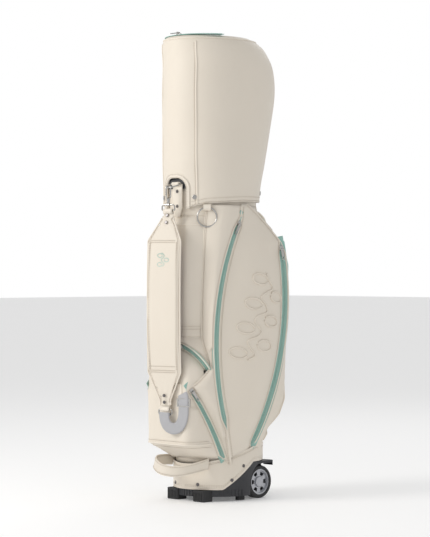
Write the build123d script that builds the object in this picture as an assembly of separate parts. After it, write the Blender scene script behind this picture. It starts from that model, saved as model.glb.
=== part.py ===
from build123d import *
import os
from math import atan, degrees, sqrt

# Wheeled golf staff bag with a rain hood, in millimetres.
# +Z is up, -Y is the front (shoulder strap side), +X is the bag's left side seen from the front.
# The origin is on the floor, under the middle of the bag.

# ---------------------------------------------------------------- driving dimensions
# Body tube, an oval that leans forward a little from the base to the cuff.
TUBE_TOP = 846.0
TUBE_WALL = 4.0
TUBE_LOW_A = 111.0
TUBE_LOW_B = 121.0
TUBE_LOW_Y = 26.0
TUBE_TOP_A = 117.0
TUBE_TOP_B = 129.0
TUBE_TOP_Y = 0.0

# Top collar and the dividers under it.
COLLAR_HEIGHT = 28.0
COLLAR_LIP = 3.0
COLLAR_WALL = 9.0
COLLAR_BAR = 12.0
DIVIDER_THICK = 3.0
CROSS_FRONT_Y = -34.0
CROSS_REAR_Y = 48.0
STAY_DIAMETER = 8.0

# Base tray and the leather boot round it.
BASE_A = 114.0
BASE_B = 124.0
BASE_Y = 27.0
BASE_BOTTOM = 13.0
BASE_TOP = 103.0
TUBE_LOW = BASE_TOP
BASE_WALL = 4.0
BOOT_WALL = 3.0
BOOT_FRONT_TOP = 98.0
BOOT_REAR_TOP = 148.0
BOOT_FRONT_BOTTOM = 33.0
BOOT_REAR_BOTTOM = 105.0
SCREW_HEAD = 9.0
SCREW_SHANK = 4.0

# Feet.
FOOT_X = 51.0
FOOT_Y = -80.0
FOOT_WIDTH = 44.0
FOOT_DEPTH = 38.0
FOOT_HEIGHT = 31.0
HEEL_X = 92.0
HEEL_Y = 21.0

# Wheels.
WHEEL_RADIUS = 45.0
WHEEL_WIDTH = 29.0
WHEEL_X = 88.0
WHEEL_Y = 89.0
HUB_RADIUS = 35.0
AXLE_RADIUS = 4.0
WHEEL_WELL_GAP = 4.0

# Guards over the wheels, part of the tray.
FENDER_HALF = 17.0
FENDER_FRONT = 70.0
FENDER_REAR = 137.0
FENDER_THICK = 7.0

# Hood.
HOOD_WALL = 3.0
HOOD_HEM_FRONT = 790.0
HOOD_HEM_REAR = 812.0
HOOD_TOP = 1266.0
HOOD_NOTCH_TOP = 874.0
HOOD_NOTCH_HALF = 38.0

# Zips: tape, coil, slider and pull.
TAPE_WIDTH = 24.0
TAPE_THICK = 1.4
COIL_WIDTH = 6.0
COIL_HEIGHT = 2.0
SLIDER_LENGTH = 13.0
SLIDER_WIDTH = 11.0
PULL_LENGTH = 30.0
PULL_WIDTH = 7.0
PULL_THICK = 1.8
PULL_PIN = 1.2

# Pockets.
BALL_POCKET_HALF = 88.0
BALL_POCKET_FRONT = -167.0
BALL_POCKET_TOP = 346.0
BALL_POCKET_LOW = 158.0
ACCESSORY_HALF = 74.0
ACCESSORY_FRONT = -149.0
ACCESSORY_LOW = 440.0
ACCESSORY_TOP = 752.0
PANEL_THICK = 3.5

# Shoulder strap.
STRAP_STAND = 20.0
STRAP_TURN = 14.0
STRAP_WIDTH = 104.0
STRAP_THICK = 9.0
STRAP_SHOULDER = 705.0
STRAP_WAIST = 352.0
STRAP_LOW = 252.0
STRAP_END_WIDTH = 38.0
WEBBING_WIDTH = 36.0
WEBBING_THICK = 2.4
RING_WIRE = 4.0

# D-ring under the strap's anchor tab.
ANCHOR_X = 10.0
ANCHOR_Z = 858.0
ANCHOR_WIDTH = 34.0
D_RING_HALF = 20.0
D_RING_REACH = 30.0

# Towel ring.
TOWEL_RING_RADIUS = 26.0
TOWEL_RING_WIRE = 4.4
TOWEL_RING_X = 80.0
TOWEL_RING_Z = 768.0

# Lower and rear grab handles.
GRAB_HALF = 70.0
GRAB_PIVOT_Y = -74.0
GRAB_PIVOT_Z = 97.0
GRAB_REACH = 114.0
GRAB_BAND = 28.0
GRAB_THICK = 5.0
GRAB_ROOM = 5.5
REAR_HANDLE_WIDTH = 30.0
REAR_HANDLE_THICK = 5.0
REAR_HANDLE_STAND = 70.0
REAR_HANDLE_TOP = 822.0
REAR_HANDLE_LOW = 590.0

# Clearances.
GAP = 0.4
RUNNING_GAP = 0.06


# ---------------------------------------------------------------- shape helpers
def blend(low, high, share):
    return low + (high - low) * share


def tube_oval(z):
    """Centre Y and the two half axes of the body tube's outside at a height."""
    share = (z - TUBE_LOW) / (TUBE_TOP - TUBE_LOW)
    return (blend(TUBE_LOW_Y, TUBE_TOP_Y, share),
            blend(TUBE_LOW_A, TUBE_TOP_A, share),
            blend(TUBE_LOW_B, TUBE_TOP_B, share))


def oval_face(z, centre_y, half_x, half_y):
    return Plane(origin=(0, centre_y, z)) * Ellipse(half_x, half_y)


def tube_solid(grow, low, high):
    """The tube's outside as a solid, grown by a distance, between two heights."""
    faces = []
    for z in (low, high):
        centre_y, half_x, half_y = tube_oval(z)
        faces.append(oval_face(z, centre_y, half_x + grow, half_y + grow))
    return loft(faces, ruled=True)


def section_solid(sections):
    """A solid through closed outlines that each lie at one height."""
    faces = [make_face(Polyline(*outline, close=True)) for outline in sections]
    return loft(faces, ruled=True)


def box_between(low, high):
    size = [b - a for a, b in zip(low, high)]
    centre = [(a + b) / 2 for a, b in zip(low, high)]
    return Pos(*centre) * Box(*size)


def side_cut(points, half_width):
    """A prism across the bag whose outline is given in Y and Z."""
    outline = Plane.YZ * make_face(Polyline(*points, close=True))
    return extrude(outline, amount=half_width, both=True)


def rod(start, end, radius):
    run = Vector(*end) - Vector(*start)
    return Plane(origin=start, z_dir=run) * extrude(Circle(radius), amount=run.length)


def both_sides(solid):
    return [solid, mirror(solid, Plane.YZ)]


def solids_of(shape):
    return list(shape.solids())


def largest(shape):
    return max(shape.solids(), key=lambda piece: piece.volume)


class ArcTrack:
    """A zip's line: part of a circle, with the side that it faces."""

    def __init__(self, start, end, facing, bulge_to, bulge):
        a, c = Vector(*start), Vector(*end)
        chord = c - a
        face = Vector(*facing)
        face = face - chord * (face.dot(chord) / chord.length ** 2)
        side = face.cross(chord).normalized()
        if side.dot(Vector(*bulge_to)) < 0:
            side = side * -1
        b = (a + c) * 0.5 + side * bulge
        normal = (b - a).cross(c - a).normalized()
        if normal.dot(face) < 0:
            normal = normal * -1
            a, c = c, a
        self.flipped = a != Vector(*start)
        chord_ab, chord_ac = b - a, c - a
        cross = chord_ab.cross(chord_ac)
        to_centre = (cross.cross(chord_ab) * chord_ac.length ** 2
                     + chord_ac.cross(cross) * chord_ab.length ** 2) * (1 / (2 * cross.length ** 2))
        self.centre = a + to_centre
        self.radius = to_centre.length
        self.outward = normal
        self.plane = Plane(origin=self.centre, x_dir=(a - self.centre), z_dir=normal)
        local_end = self.plane.to_local_coords(c)
        self.sweep = Vector(1, 0, 0).get_signed_angle(Vector(local_end.X, local_end.Y, 0), Vector(0, 0, 1))
        if self.sweep < 0:
            self.sweep += 360

    def strip(self, width, low, high, extra=0.0, start=0.0, end=1.0):
        """A band along the track, between two distances out from it."""
        profile = Plane.XZ * Pos(self.radius, (low + high) / 2) * Rectangle(width, high - low)
        over = degrees(extra / self.radius)
        turn = self.sweep * (end - start) + 2 * over
        band = revolve(profile, Axis.Z, revolution_arc=turn)
        return self.plane.location * (Rot(0, 0, self.sweep * start - over) * band)

    def frame(self, share):
        """Plane on the track: X runs along it to its start, Z faces outward."""
        angle = self.sweep * (1 - share if self.flipped else share)
        spot = Rot(0, 0, angle) * Pos(self.radius, 0, 0)
        centre = self.plane.location * spot
        point = centre.position
        radial = (point - self.centre).normalized()
        along = self.outward.cross(radial)
        if not self.flipped:
            along = along * -1
        return Plane(origin=point, x_dir=along, z_dir=self.outward)

    def at_height(self, z):
        """The track's point at a height, also a little past its ends."""
        low, high = -0.25, 1.25
        rising = self.frame(1.0).origin.Z > self.frame(0.0).origin.Z
        for _ in range(40):
            share = (low + high) / 2
            if (self.frame(share).origin.Z < z) == rising:
                low = share
            else:
                high = share
        return self.frame((low + high) / 2).origin


def make_slider(frame):
    """Zip slider over the coil, with two lugs and a pin for its pull."""
    roof_low = TAPE_THICK / 2 + COIL_HEIGHT + GAP
    roof_high = roof_low + 1.8
    side_low = TAPE_THICK / 2 + GAP
    channel = COIL_WIDTH / 2 + GAP
    body = box_between((-SLIDER_LENGTH / 2, -SLIDER_WIDTH / 2, side_low),
                       (SLIDER_LENGTH / 2, SLIDER_WIDTH / 2, roof_high))
    body = fillet(body.edges().filter_by(Axis.Z), 2.0)
    body -= box_between((-SLIDER_LENGTH, -channel, 0), (SLIDER_LENGTH, channel, roof_low))
    lug_x = -SLIDER_LENGTH / 2 + 3.0
    pin_z = roof_high + PULL_PIN + 1.6
    for side in (-1, 1):
        lug = Pos(lug_x, side * (PULL_WIDTH / 2 + 0.3 + 0.7), 0) * Box(4.4, 1.4, pin_z + 2.0 - side_low - 1.0,
                                                                  align=(Align.CENTER, Align.CENTER, Align.MIN))
        body += Pos(0, 0, side_low + 1.0) * lug
    pin = Pos(lug_x, 0, pin_z) * Rot(90, 0, 0) * Cylinder(PULL_PIN, PULL_WIDTH + 2.0)
    return frame.location * (body + pin)


def pull_pin_frame(frame):
    """Plane at the slider's pin, with the same directions as the slider."""
    roof_high = TAPE_THICK / 2 + COIL_HEIGHT + GAP + 1.8
    local = Vector(-SLIDER_LENGTH / 2 + 3.0, 0, roof_high + PULL_PIN + 1.6)
    return Plane(origin=frame.from_local_coords(local), x_dir=frame.x_dir, z_dir=frame.z_dir)


def make_pull(frame):
    """Pull that hangs from the slider's pin, along the zip."""
    eye_outer = PULL_PIN + RUNNING_GAP + 1.3
    eye = Rot(90, 0, 0) * Cylinder(eye_outer, PULL_WIDTH)
    plate = box_between((-PULL_LENGTH, -PULL_WIDTH / 2, -PULL_THICK / 2), (0, PULL_WIDTH / 2, PULL_THICK / 2))
    plate = fillet(plate.edges().filter_by(Axis.Z).sort_by(Axis.X)[:2], 3.0)
    slot = Pos(-PULL_LENGTH + 6.0, 0, 0) * SlotOverall(7.0, 3.0).face()
    pull = eye + plate - extrude(slot, amount=PULL_THICK, both=True)
    pull -= Rot(90, 0, 0) * Cylinder(PULL_PIN + RUNNING_GAP, PULL_WIDTH * 2)
    pin = pull_pin_frame(frame)
    return pin.location * pull


def closed_loop(width, height, bow_radius, foot_radius, wire):
    """A closed wire loop in the XY plane: its foot is on the X axis, and it reaches to +Y."""
    half = width / 2
    corners = [(-half, 0), (half, 0), (half, height), (-half, height)]
    path = FilletPolyline(*corners, radius=[foot_radius, foot_radius, bow_radius, bow_radius], close=True)
    start = path @ 0
    section = Plane(origin=start, z_dir=path % 0) * Circle(wire / 2)
    return sweep(section, path=path)


# ---------------------------------------------------------------- zip lines
SIDE_FRONT_ZIP = ArcTrack((127, -10, 770), (116, -54, 197), (1, -0.1, 0), (0, -1, 0), 58.0)
SIDE_REAR_ZIP = ArcTrack((154, 114, 703), (114, 44, 152), (0.868, -0.496, 0), (0, 1, 0), 45.0)
ARCH_ZIP = ArcTrack((100, -107, 360), (-100, -107, 360), (0, -0.852, -0.523), (0, 0, 1), 82.0)
SLANT_ZIP = ArcTrack((78, -156, 312), (96, -50, 122), (0.95, -0.3, 0), (0, 1, 0), 7.0)
HOOD_ZIP = ArcTrack((96, -50, 1261), (-96, -50, 1261), (0, 0, 1), (0, -1, 0), 70.0)

# Where each slider rests on its track, from 0 at its start to 1 at its end.
SLIDER_PLACES = {"side_front": 0.035, "side_rear": 0.03, "arch": 0.36, "slant": 0.05, "hood": 0.5}


# ---------------------------------------------------------------- base, wheels and feet
def base_outline(grow, low, high):
    return extrude(oval_face(low, BASE_Y, BASE_A + grow, BASE_B + grow), amount=high - low)


def across(x, radius, length):
    """Cylinder along X, centred on the wheel axis at a distance out."""
    return Pos(x, WHEEL_Y, WHEEL_RADIUS) * Rot(0, 90, 0) * Cylinder(radius, length)


SCREW_PLACES = [(-42, 46), (42, 46), (-104, 58), (104, 58), (-113.0, 95), (113.0, 95)]


def screw_frames(grow):
    """Planes on the base's outline, facing out, at each boot screw."""
    frames = []
    for x, z in SCREW_PLACES:
        share = x / (BASE_A + grow)
        y = BASE_Y - (BASE_B + grow) * sqrt(1 - share * share)
        out = Vector(x / BASE_A ** 2, (y - BASE_Y) / BASE_B ** 2, 0).normalized()
        frames.append(Plane(origin=(x, y, z), z_dir=out))
    return frames


def screw_holes(radius):
    holes = []
    for frame in screw_frames(0):
        holes.append(frame.location * Cylinder(radius, 30))
    return holes


def foot_blocks(grow):
    """The two front feet, grown by a clearance."""
    blocks = []
    for side in (-1, 1):
        block = Pos(side * FOOT_X, FOOT_Y, (FOOT_HEIGHT + grow) / 2) * Box(
            FOOT_WIDTH + 2 * grow, FOOT_DEPTH + 2 * grow, FOOT_HEIGHT + grow)
        blocks.append(fillet(block.edges().filter_by(Axis.Z), 7.0))
    return blocks


def heel_blocks(grow):
    blocks = []
    for side in (-1, 1):
        block = Pos(side * HEEL_X, HEEL_Y, 14.0 + grow / 2) * Box(14 + 2 * grow, 26 + 2 * grow, 28.0 + grow)
        blocks.append(fillet(block.edges().filter_by(Axis.Z), 4.0))
    return blocks


def make_fender(side):
    """Flat guard that reaches back over a wheel, with a lip turned down at its end."""
    low_x, high_x = sorted((side * (WHEEL_X - FENDER_HALF), side * (WHEEL_X + FENDER_HALF)))
    top = BASE_TOP - 0.5
    slab = box_between((low_x, FENDER_FRONT, top - FENDER_THICK), (high_x, FENDER_REAR, top))
    lip = box_between((low_x, FENDER_REAR - 4.0, top - 2 * FENDER_THICK), (high_x, FENDER_REAR, top))
    fender = slab + lip
    corners = [edge for edge in fender.edges().filter_by(Axis.Z) if edge.center().Y > FENDER_REAR - 1]
    return fillet(corners, 3.0)


def make_base_tray():
    outer = base_outline(0, BASE_BOTTOM, BASE_TOP)
    tray = outer - base_outline(-BASE_WALL, BASE_BOTTOM - 1, BASE_TOP - BASE_WALL)
    well_radius = WHEEL_RADIUS + WHEEL_WELL_GAP
    wheel_inner = WHEEL_X - WHEEL_WIDTH / 2
    bracket_out = wheel_inner - 3.0
    bracket_in = bracket_out - 7.0
    skin = 3.5
    for side in (-1, 1):
        span_x = (bracket_in + BASE_A + 20) / 2
        span = BASE_A + 20 - bracket_in
        block = across(side * span_x, well_radius + skin, span)
        place = Pos(side * span_x, WHEEL_Y, WHEEL_RADIUS / 2)
        block += place * Box(span, 2 * (well_radius + skin), WHEEL_RADIUS)
        tray += block & outer
        column = Pos(side * FOOT_X, FOOT_Y + 8, (FOOT_HEIGHT + BASE_TOP) / 2)
        tray += (column * Box(26, 20, BASE_TOP - FOOT_HEIGHT - 1)) & outer
        heel = Pos(side * (HEEL_X + 2), HEEL_Y, (29 + BASE_TOP) / 2) * Box(20, 24, BASE_TOP - 29)
        tray += heel & outer
    for side in (-1, 1):
        span_x = (bracket_out + BASE_A + 30) / 2
        span = BASE_A + 30 - bracket_out
        tray -= across(side * span_x, well_radius, span)
        tray -= Pos(side * span_x, WHEEL_Y, 0) * Box(span, 2 * well_radius, 2 * WHEEL_RADIUS)
    tray -= across(0, AXLE_RADIUS + RUNNING_GAP, 2 * BASE_A)
    rib_count = 34
    for index in range(rib_count):
        angle = 180 + 8 + (180 - 16) * index / (rib_count - 1)
        edge = Vector(BASE_A, 0, 0).rotate(Axis.Z, angle)
        spot = Pos(edge.X, BASE_Y + edge.Y * BASE_B / BASE_A, BASE_BOTTOM + 9.5)
        tray += spot * Rot(0, 0, angle) * Box(3.0, 3.2, 17.0)
    for side in (-1, 1):
        tray += make_fender(side)
    for block in foot_blocks(GAP) + heel_blocks(GAP):
        tray -= block
    for hole in screw_holes(SCREW_SHANK / 2 + GAP / 2):
        tray -= hole
    return largest(tray)


def make_boot():
    ring = base_outline(BOOT_WALL + GAP, 20, 160) - base_outline(GAP, 10, 170)
    edges = [(-170, BOOT_FRONT_TOP), (-101, BOOT_FRONT_TOP), (60, BOOT_REAR_TOP), (190, BOOT_REAR_TOP),
             (190, BOOT_REAR_BOTTOM), (48, BOOT_REAR_BOTTOM), (-45, BOOT_FRONT_BOTTOM), (-170, BOOT_FRONT_BOTTOM)]
    boot = ring & side_cut(edges, 200)
    for hole in screw_holes(SCREW_SHANK / 2 + GAP / 2):
        boot -= hole
    return boot


def make_base_screws():
    screws = []
    for frame in screw_frames(0):
        head_low = BOOT_WALL + GAP + 0.4
        head = Pos(0, 0, head_low + 1.1) * Cylinder(SCREW_HEAD / 2, 2.2)
        head = chamfer(head.edges().sort_by(Axis.Z)[-1], 0.8)
        shank = Pos(0, 0, head_low - 5.0) * Cylinder(SCREW_SHANK / 2, 10.0)
        screws.append(frame.location * (head + shank))
    return Compound(children=screws)


def make_feet():
    feet = []
    for block in foot_blocks(0):
        box = block.bounding_box()
        for rib in range(6):
            x = box.min.X + 7 + rib * (FOOT_WIDTH - 14) / 5
            block -= box_between((x - 1.2, box.min.Y - 1, 4), (x + 1.2, box.min.Y + 1.2, FOOT_HEIGHT - 6))
        feet.append(chamfer(block.edges().group_by(Axis.Z)[0], 1.5))
    return Compound(children=feet)


def make_heels():
    heels = [chamfer(block.edges().group_by(Axis.Z)[0], 1.0) for block in heel_blocks(0)]
    return Compound(children=heels)


def make_axle():
    return across(0, AXLE_RADIUS, 2 * (WHEEL_X + 8.0))


def make_tyre(side):
    ring = Cylinder(WHEEL_RADIUS, WHEEL_WIDTH) - Cylinder(HUB_RADIUS, WHEEL_WIDTH + 2)
    ring = fillet(ring.edges().filter_by(GeomType.CIRCLE).sort_by(SortBy.RADIUS)[-2:], 5.0)
    for turn in (-6.0, 6.0):
        groove = Pos(0, 0, turn) * (Cylinder(WHEEL_RADIUS + 2, 1.6) - Cylinder(WHEEL_RADIUS - 1.0, 3))
        ring -= groove
    return Pos(side * WHEEL_X, WHEEL_Y, WHEEL_RADIUS) * Rot(0, 90 * side, 0) * ring


def make_hub(side):
    """Slotted disc with a raised cap. Its outer side is local +Z."""
    rim_radius = HUB_RADIUS - 0.05
    width = WHEEL_WIDTH - 4.0
    rim = Cylinder(rim_radius, width) - Cylinder(rim_radius - 4.0, width + 2)
    web = Pos(0, 0, 5.5) * Cylinder(rim_radius - 3.0, 5.0)
    boss = Pos(0, 0, -2.0) * Cylinder(9.0, width - 5.0)
    cap = Pos(0, 0, 10.0) * Cylinder(14.5, 6.0)
    cap = fillet(cap.edges().sort_by(Axis.Z)[-1], 2.4)
    slot = Polyline((-4.6, 18.0), (4.6, 18.0), (7.4, 27.5), (-7.4, 27.5), close=True)
    slot = extrude(make_face(slot), amount=40, both=True)
    web -= [Rot(0, 0, 60 * turn) * slot for turn in range(6)]
    hub = rim + web + boss + cap
    bore_low = -width / 2 - 1
    bore_high = 8.6
    hub -= Pos(0, 0, (bore_low + bore_high) / 2) * Cylinder(AXLE_RADIUS + RUNNING_GAP, bore_high - bore_low)
    return Pos(side * WHEEL_X, WHEEL_Y, WHEEL_RADIUS) * Rot(0, 90 * side, 0) * hub


# ---------------------------------------------------------------- body tube and its inside
def make_tube():
    return tube_solid(0, TUBE_LOW, TUBE_TOP) - tube_solid(-TUBE_WALL, TUBE_LOW, TUBE_TOP)


def make_collar():
    centre_y, half_x, half_y = tube_oval(TUBE_TOP)
    outer_face = oval_face(TUBE_TOP, centre_y, half_x + COLLAR_LIP, half_y + COLLAR_LIP)
    outer = extrude(outer_face, amount=COLLAR_HEIGHT)
    outer = fillet(outer.edges().group_by(Axis.Z)[-1], 5.0)
    inner = extrude(oval_face(TUBE_TOP - 1, centre_y, half_x + COLLAR_LIP - COLLAR_WALL,
                              half_y + COLLAR_LIP - COLLAR_WALL), amount=COLLAR_HEIGHT + 2)
    bars = Pos(0, 0, TUBE_TOP + COLLAR_HEIGHT / 2 - 2) * Box(COLLAR_BAR, 2 * half_y, COLLAR_HEIGHT - 4)
    for y in (CROSS_FRONT_Y, CROSS_REAR_Y):
        bars += Pos(0, y, TUBE_TOP + COLLAR_HEIGHT / 2 - 2) * Box(2 * half_x, COLLAR_BAR, COLLAR_HEIGHT - 4)
    return (outer - inner) + (bars & outer)


def inside_tube():
    return tube_solid(-TUBE_WALL - GAP, TUBE_LOW + 2, TUBE_TOP - GAP)


def make_divider_lengthwise():
    return inside_tube() & Box(DIVIDER_THICK, 400, 4 * TUBE_TOP)


def make_divider_cross():
    plates = []
    inner = inside_tube()
    for y in (CROSS_FRONT_Y, CROSS_REAR_Y):
        for side in (-1, 1):
            half = Pos(side * (DIVIDER_THICK / 2 + GAP + 100), y, 0) * Box(200, DIVIDER_THICK, 4 * TUBE_TOP)
            plates.extend(solids_of(inner & half))
    return Compound(children=plates)


def make_stays():
    rods = []
    inset = TUBE_WALL + GAP + STAY_DIAMETER / 2
    for side in (-1, 1):
        ends = []
        for z in (TUBE_LOW + 1, TUBE_TOP - 1):
            centre_y, half_x, _ = tube_oval(z)
            ends.append((side * (half_x - inset), centre_y, z))
        rods.append(rod(ends[0], ends[1], STAY_DIAMETER / 2))
    return Compound(children=rods)


# ---------------------------------------------------------------- pockets
def zip_room(track, deep=1.2):
    """Space kept free for a zip and for all that stands above it, its pull past the ends included."""
    room = track.strip(TAPE_WIDTH + 2 * GAP, -TAPE_THICK / 2 - GAP, 22.0, extra=deep)
    return room + track.strip(TAPE_WIDTH, TAPE_THICK / 2 + COIL_HEIGHT + GAP, 22.0, extra=PULL_LENGTH + 8)


def side_outline(z, rear, gusset, bulge):
    """Key points of the side pocket at a height: front edge, two panel points, rear corner, gusset corner."""
    front = SIDE_FRONT_ZIP.at_height(z)
    rear_x, rear_y = rear
    chord_x, chord_y = rear_x - front.X, rear_y - front.Y
    first = (front.X + 0.3 * chord_x + bulge, front.Y + 0.3 * chord_y - 0.15 * bulge)
    second = (front.X + 0.68 * chord_x + 0.85 * bulge, front.Y + 0.68 * chord_y - 0.2 * bulge)
    return [(front.X, front.Y), first, second, (rear_x, rear_y), gusset]


# Height, gusset corner and how far the panel stands out, from the boot up to the zip's top.
SIDE_LEVELS = [(154, (110, 84), 8.0), (198, (121, 106), 15.0), (232, (132, 134), 20.0), (272, (138, 147), 23.0),
               (340, (140, 150), 27.0), (450, (146, 150), 30.0), (560, (156, 148), 30.0), (640, (159, 142), 26.0),
               (700, (152, 128), 18.0)]


def side_rows():
    rows = []
    for z, gusset, bulge in SIDE_LEVELS:
        rear = SIDE_REAR_ZIP.at_height(z)
        rows.append((z, side_outline(z, (rear.X, rear.Y), gusset, bulge)))
    rows.append((745, side_outline(745, (140, 80), (132, 92), 9.0)))
    rows.append((782, side_outline(782, (129, 44), (124, 52), 4.0)))
    rows.append((806, [(123, -6), (125, 2), (125.5, 8), (124, 14), (121, 18)]))
    return rows


def make_side_pocket():
    sections = []
    for z, (front, first, second, rear, gusset) in side_rows():
        inset = PANEL_THICK + GAP
        outline = [(60, front[1] + 14), (front[0] - inset, front[1] + 1), (first[0] - inset, first[1]),
                   (second[0] - inset, second[1]), (rear[0] - inset, rear[1] + 1), gusset, (60, gusset[1] - 2)]
        sections.append([(x, y, z) for x, y in outline])
    pocket = section_solid(sections) - tube_solid(GAP, 0, 1000)
    pocket -= zip_room(SIDE_FRONT_ZIP)
    pocket -= zip_room(SIDE_REAR_ZIP)
    return largest(pocket)


def make_side_panel():
    sections = []
    for z, (front, first, second, rear, _) in side_rows():
        outer = [front, first, second, rear]
        inner = [(x - PANEL_THICK, y) for x, y in reversed(outer)]
        sections.append([(x, y, z) for x, y in outer + inner])
    panel = section_solid(sections)
    panel -= zip_room(SIDE_FRONT_ZIP)
    panel -= zip_room(SIDE_REAR_ZIP)
    panel -= tube_solid(GAP, 0, 1000)
    return largest(panel)


def mirrored_sections(rows):
    """Outlines from rows of (height, points on the +X half), closed across the bag."""
    sections = []
    for z, half in rows:
        outline = half + [(-x, y) for x, y in reversed(half)]
        sections.append([(x, y, z) for x, y in outline])
    return sections


def make_ball_pocket():
    front = BALL_POCKET_FRONT
    half = BALL_POCKET_HALF
    rows = [(118, [(48, -100), (80, -66), (60, -40)]),
            (BALL_POCKET_LOW, [(half - 16, front + 3), (half, front + 26), (60, -45)]),
            (312, [(half - 14, front + 3), (half + 2, front + 24), (60, -60)]),
            (BALL_POCKET_TOP, [(half - 16, front + 6), (half + 2, front + 28), (60, -60)]),
            (378, [(half - 20, front + 16), (half + 2, front + 40), (60, -60)]),
            (436, [(half - 34, front + 24), (half - 12, front + 46), (60, -60)])]
    pocket = section_solid(mirrored_sections(rows)) - tube_solid(GAP, 0, 1000)
    pocket -= zip_room(ARCH_ZIP)
    slant_room = zip_room(SLANT_ZIP)
    for room in both_sides(slant_room):
        pocket -= room
    return largest(pocket)


def make_accessory_pocket():
    front = ACCESSORY_FRONT
    half = ACCESSORY_HALF
    rows = [(ACCESSORY_LOW, [(half - 26, front + 8), (half, front + 38), (56, -60)]),
            (540, [(half - 22, front + 2), (half + 4, front + 36), (60, -60)]),
            (690, [(half - 22, front + 6), (half + 6, front + 42), (60, -60)]),
            (ACCESSORY_TOP, [(half - 24, front + 16), (half + 4, front + 50), (60, -60)])]
    pocket = section_solid(mirrored_sections(rows)) - tube_solid(GAP, 0, 1000)
    return largest(pocket - zip_room(ARCH_ZIP))


def make_mesh_pockets():
    """Elastic pocket on each side, behind the top of the side pocket."""
    rows = [(560, [(70, 96), (72, 134), (112, 150), (134, 146), (120, 96)]),
            (640, [(60, 100), (64, 142), (110, 166), (146, 158), (150, 100)]),
            (700, [(60, 100), (64, 140), (110, 160), (142, 150), (148, 90)]),
            (764, [(70, 90), (74, 122), (100, 128), (122, 112), (128, 84)])]
    sections = [[(x, y, z) for x, y in outline] for z, outline in rows]
    pocket = section_solid(sections) - tube_solid(GAP, 0, 1000)
    keep_out = []
    for z, (front, first, second, rear, gusset) in side_rows():
        outline = [(40, front[1]), (front[0] + 3, front[1]), (first[0] + 3, first[1]), (second[0] + 3, second[1]),
                   (rear[0] + 3, rear[1] + 2), (gusset[0] + 2, gusset[1] + 3), (40, gusset[1] + 3)]
        keep_out.append([(x, y, z) for x, y in outline])
    pocket -= section_solid(keep_out)
    pocket -= zip_room(SIDE_REAR_ZIP, deep=16)
    return Compound(children=both_sides(largest(pocket)))


def zip_pairs():
    """Every zip line on the bag itself, both sides of the bag included."""
    return [SIDE_FRONT_ZIP, SIDE_REAR_ZIP, SLANT_ZIP]


def tape_of(track):
    return track.strip(TAPE_WIDTH, -TAPE_THICK / 2, TAPE_THICK / 2)


def coil_of(track):
    return track.strip(COIL_WIDTH, TAPE_THICK / 2, TAPE_THICK / 2 + COIL_HEIGHT)


def make_zip_set(piece_of):
    room = tube_solid(GAP, 0, 1000)
    pieces = [piece_of(ARCH_ZIP) - room]
    for track in zip_pairs():
        pieces.extend(both_sides(piece_of(track) - room))
    return Compound(children=pieces)


# ---------------------------------------------------------------- tabs, rings and handles
def outward_frame(x, z, stand):
    """Plane that faces out from the tube's front half at a place across and up, X along the surface."""
    centre_y, half_x, half_y = tube_oval(z)
    y = centre_y - half_y * sqrt(1 - (x / half_x) ** 2)
    out = Vector(x / half_x ** 2, (y - centre_y) / half_y ** 2, 0).normalized()
    spot = Vector(x, y, z) + out * stand
    return Plane(origin=spot, x_dir=Vector(-out.Y, out.X, 0), z_dir=out)


def loop_tube(inner, thick, length):
    """Fabric or leather loop round a wire that runs along X."""
    return Rot(0, 90, 0) * (Cylinder(inner + thick, length) - Cylinder(inner, length + 2))


TOWEL_LOOP_INNER = 6.0
TOWEL_LOOP_THICK = 2.4


def towel_ring_frame():
    stand = 1.4 + TOWEL_LOOP_INNER + TOWEL_LOOP_THICK
    return outward_frame(TOWEL_RING_X, TOWEL_RING_Z + TOWEL_RING_RADIUS, stand)


def make_ring_tab():
    frame = towel_ring_frame()
    loop = loop_tube(TOWEL_LOOP_INNER, TOWEL_LOOP_THICK, 20.0)
    back = -TOWEL_LOOP_INNER - TOWEL_LOOP_THICK
    plate = box_between((-12, 4.0, back), (12, 36.0, back + 2.2))
    plate -= Rot(0, 90, 0) * Cylinder(TOWEL_LOOP_INNER, 60)
    return frame.location * (loop + plate)


def make_towel_ring():
    frame = towel_ring_frame()
    ring = Pos(0, -TOWEL_RING_RADIUS, 0) * Torus(TOWEL_RING_RADIUS, TOWEL_RING_WIRE / 2)
    return frame.location * ring


COLLAR_FRONT = TUBE_TOP_B + COLLAR_LIP
TAB_BACK = COLLAR_FRONT + GAP
TAB_THICK = 3.4
D_BAR_Y = -(TAB_BACK + TAB_THICK + RING_WIRE / 2 + 2.4)
D_TILT = 20.0


def anchor_frame():
    return Pos(ANCHOR_X, D_BAR_Y, ANCHOR_Z)


def make_anchor_tab():
    """Leather tab riveted to the cuff. Its folded top holds the D-ring's bar."""
    outline = Polyline((-ANCHOR_WIDTH / 2, 0), (ANCHOR_WIDTH / 2, 0), (ANCHOR_WIDTH / 2, -64),
                       (ANCHOR_WIDTH / 2 - 10, -88), (-ANCHOR_WIDTH / 2 + 10, -88), (-ANCHOR_WIDTH / 2, -64), close=True)
    plate = extrude(Plane.XZ * make_face(outline), amount=TAB_THICK)
    plate = Pos(ANCHOR_X, -TAB_BACK, ANCHOR_Z) * plate
    inner = RING_WIRE / 2 + GAP
    loop = anchor_frame() * loop_tube(inner, 3.0, ANCHOR_WIDTH - 8)
    hollow = anchor_frame() * (Rot(0, 90, 0) * Cylinder(inner, ANCHOR_WIDTH + 20))
    tab = plate + loop - hollow
    for drop in (20, 60):
        tab -= Pos(ANCHOR_X, -TAB_BACK, ANCHOR_Z - drop) * Rot(90, 0, 0) * Cylinder(2.2, 20)
    return tab


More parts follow.
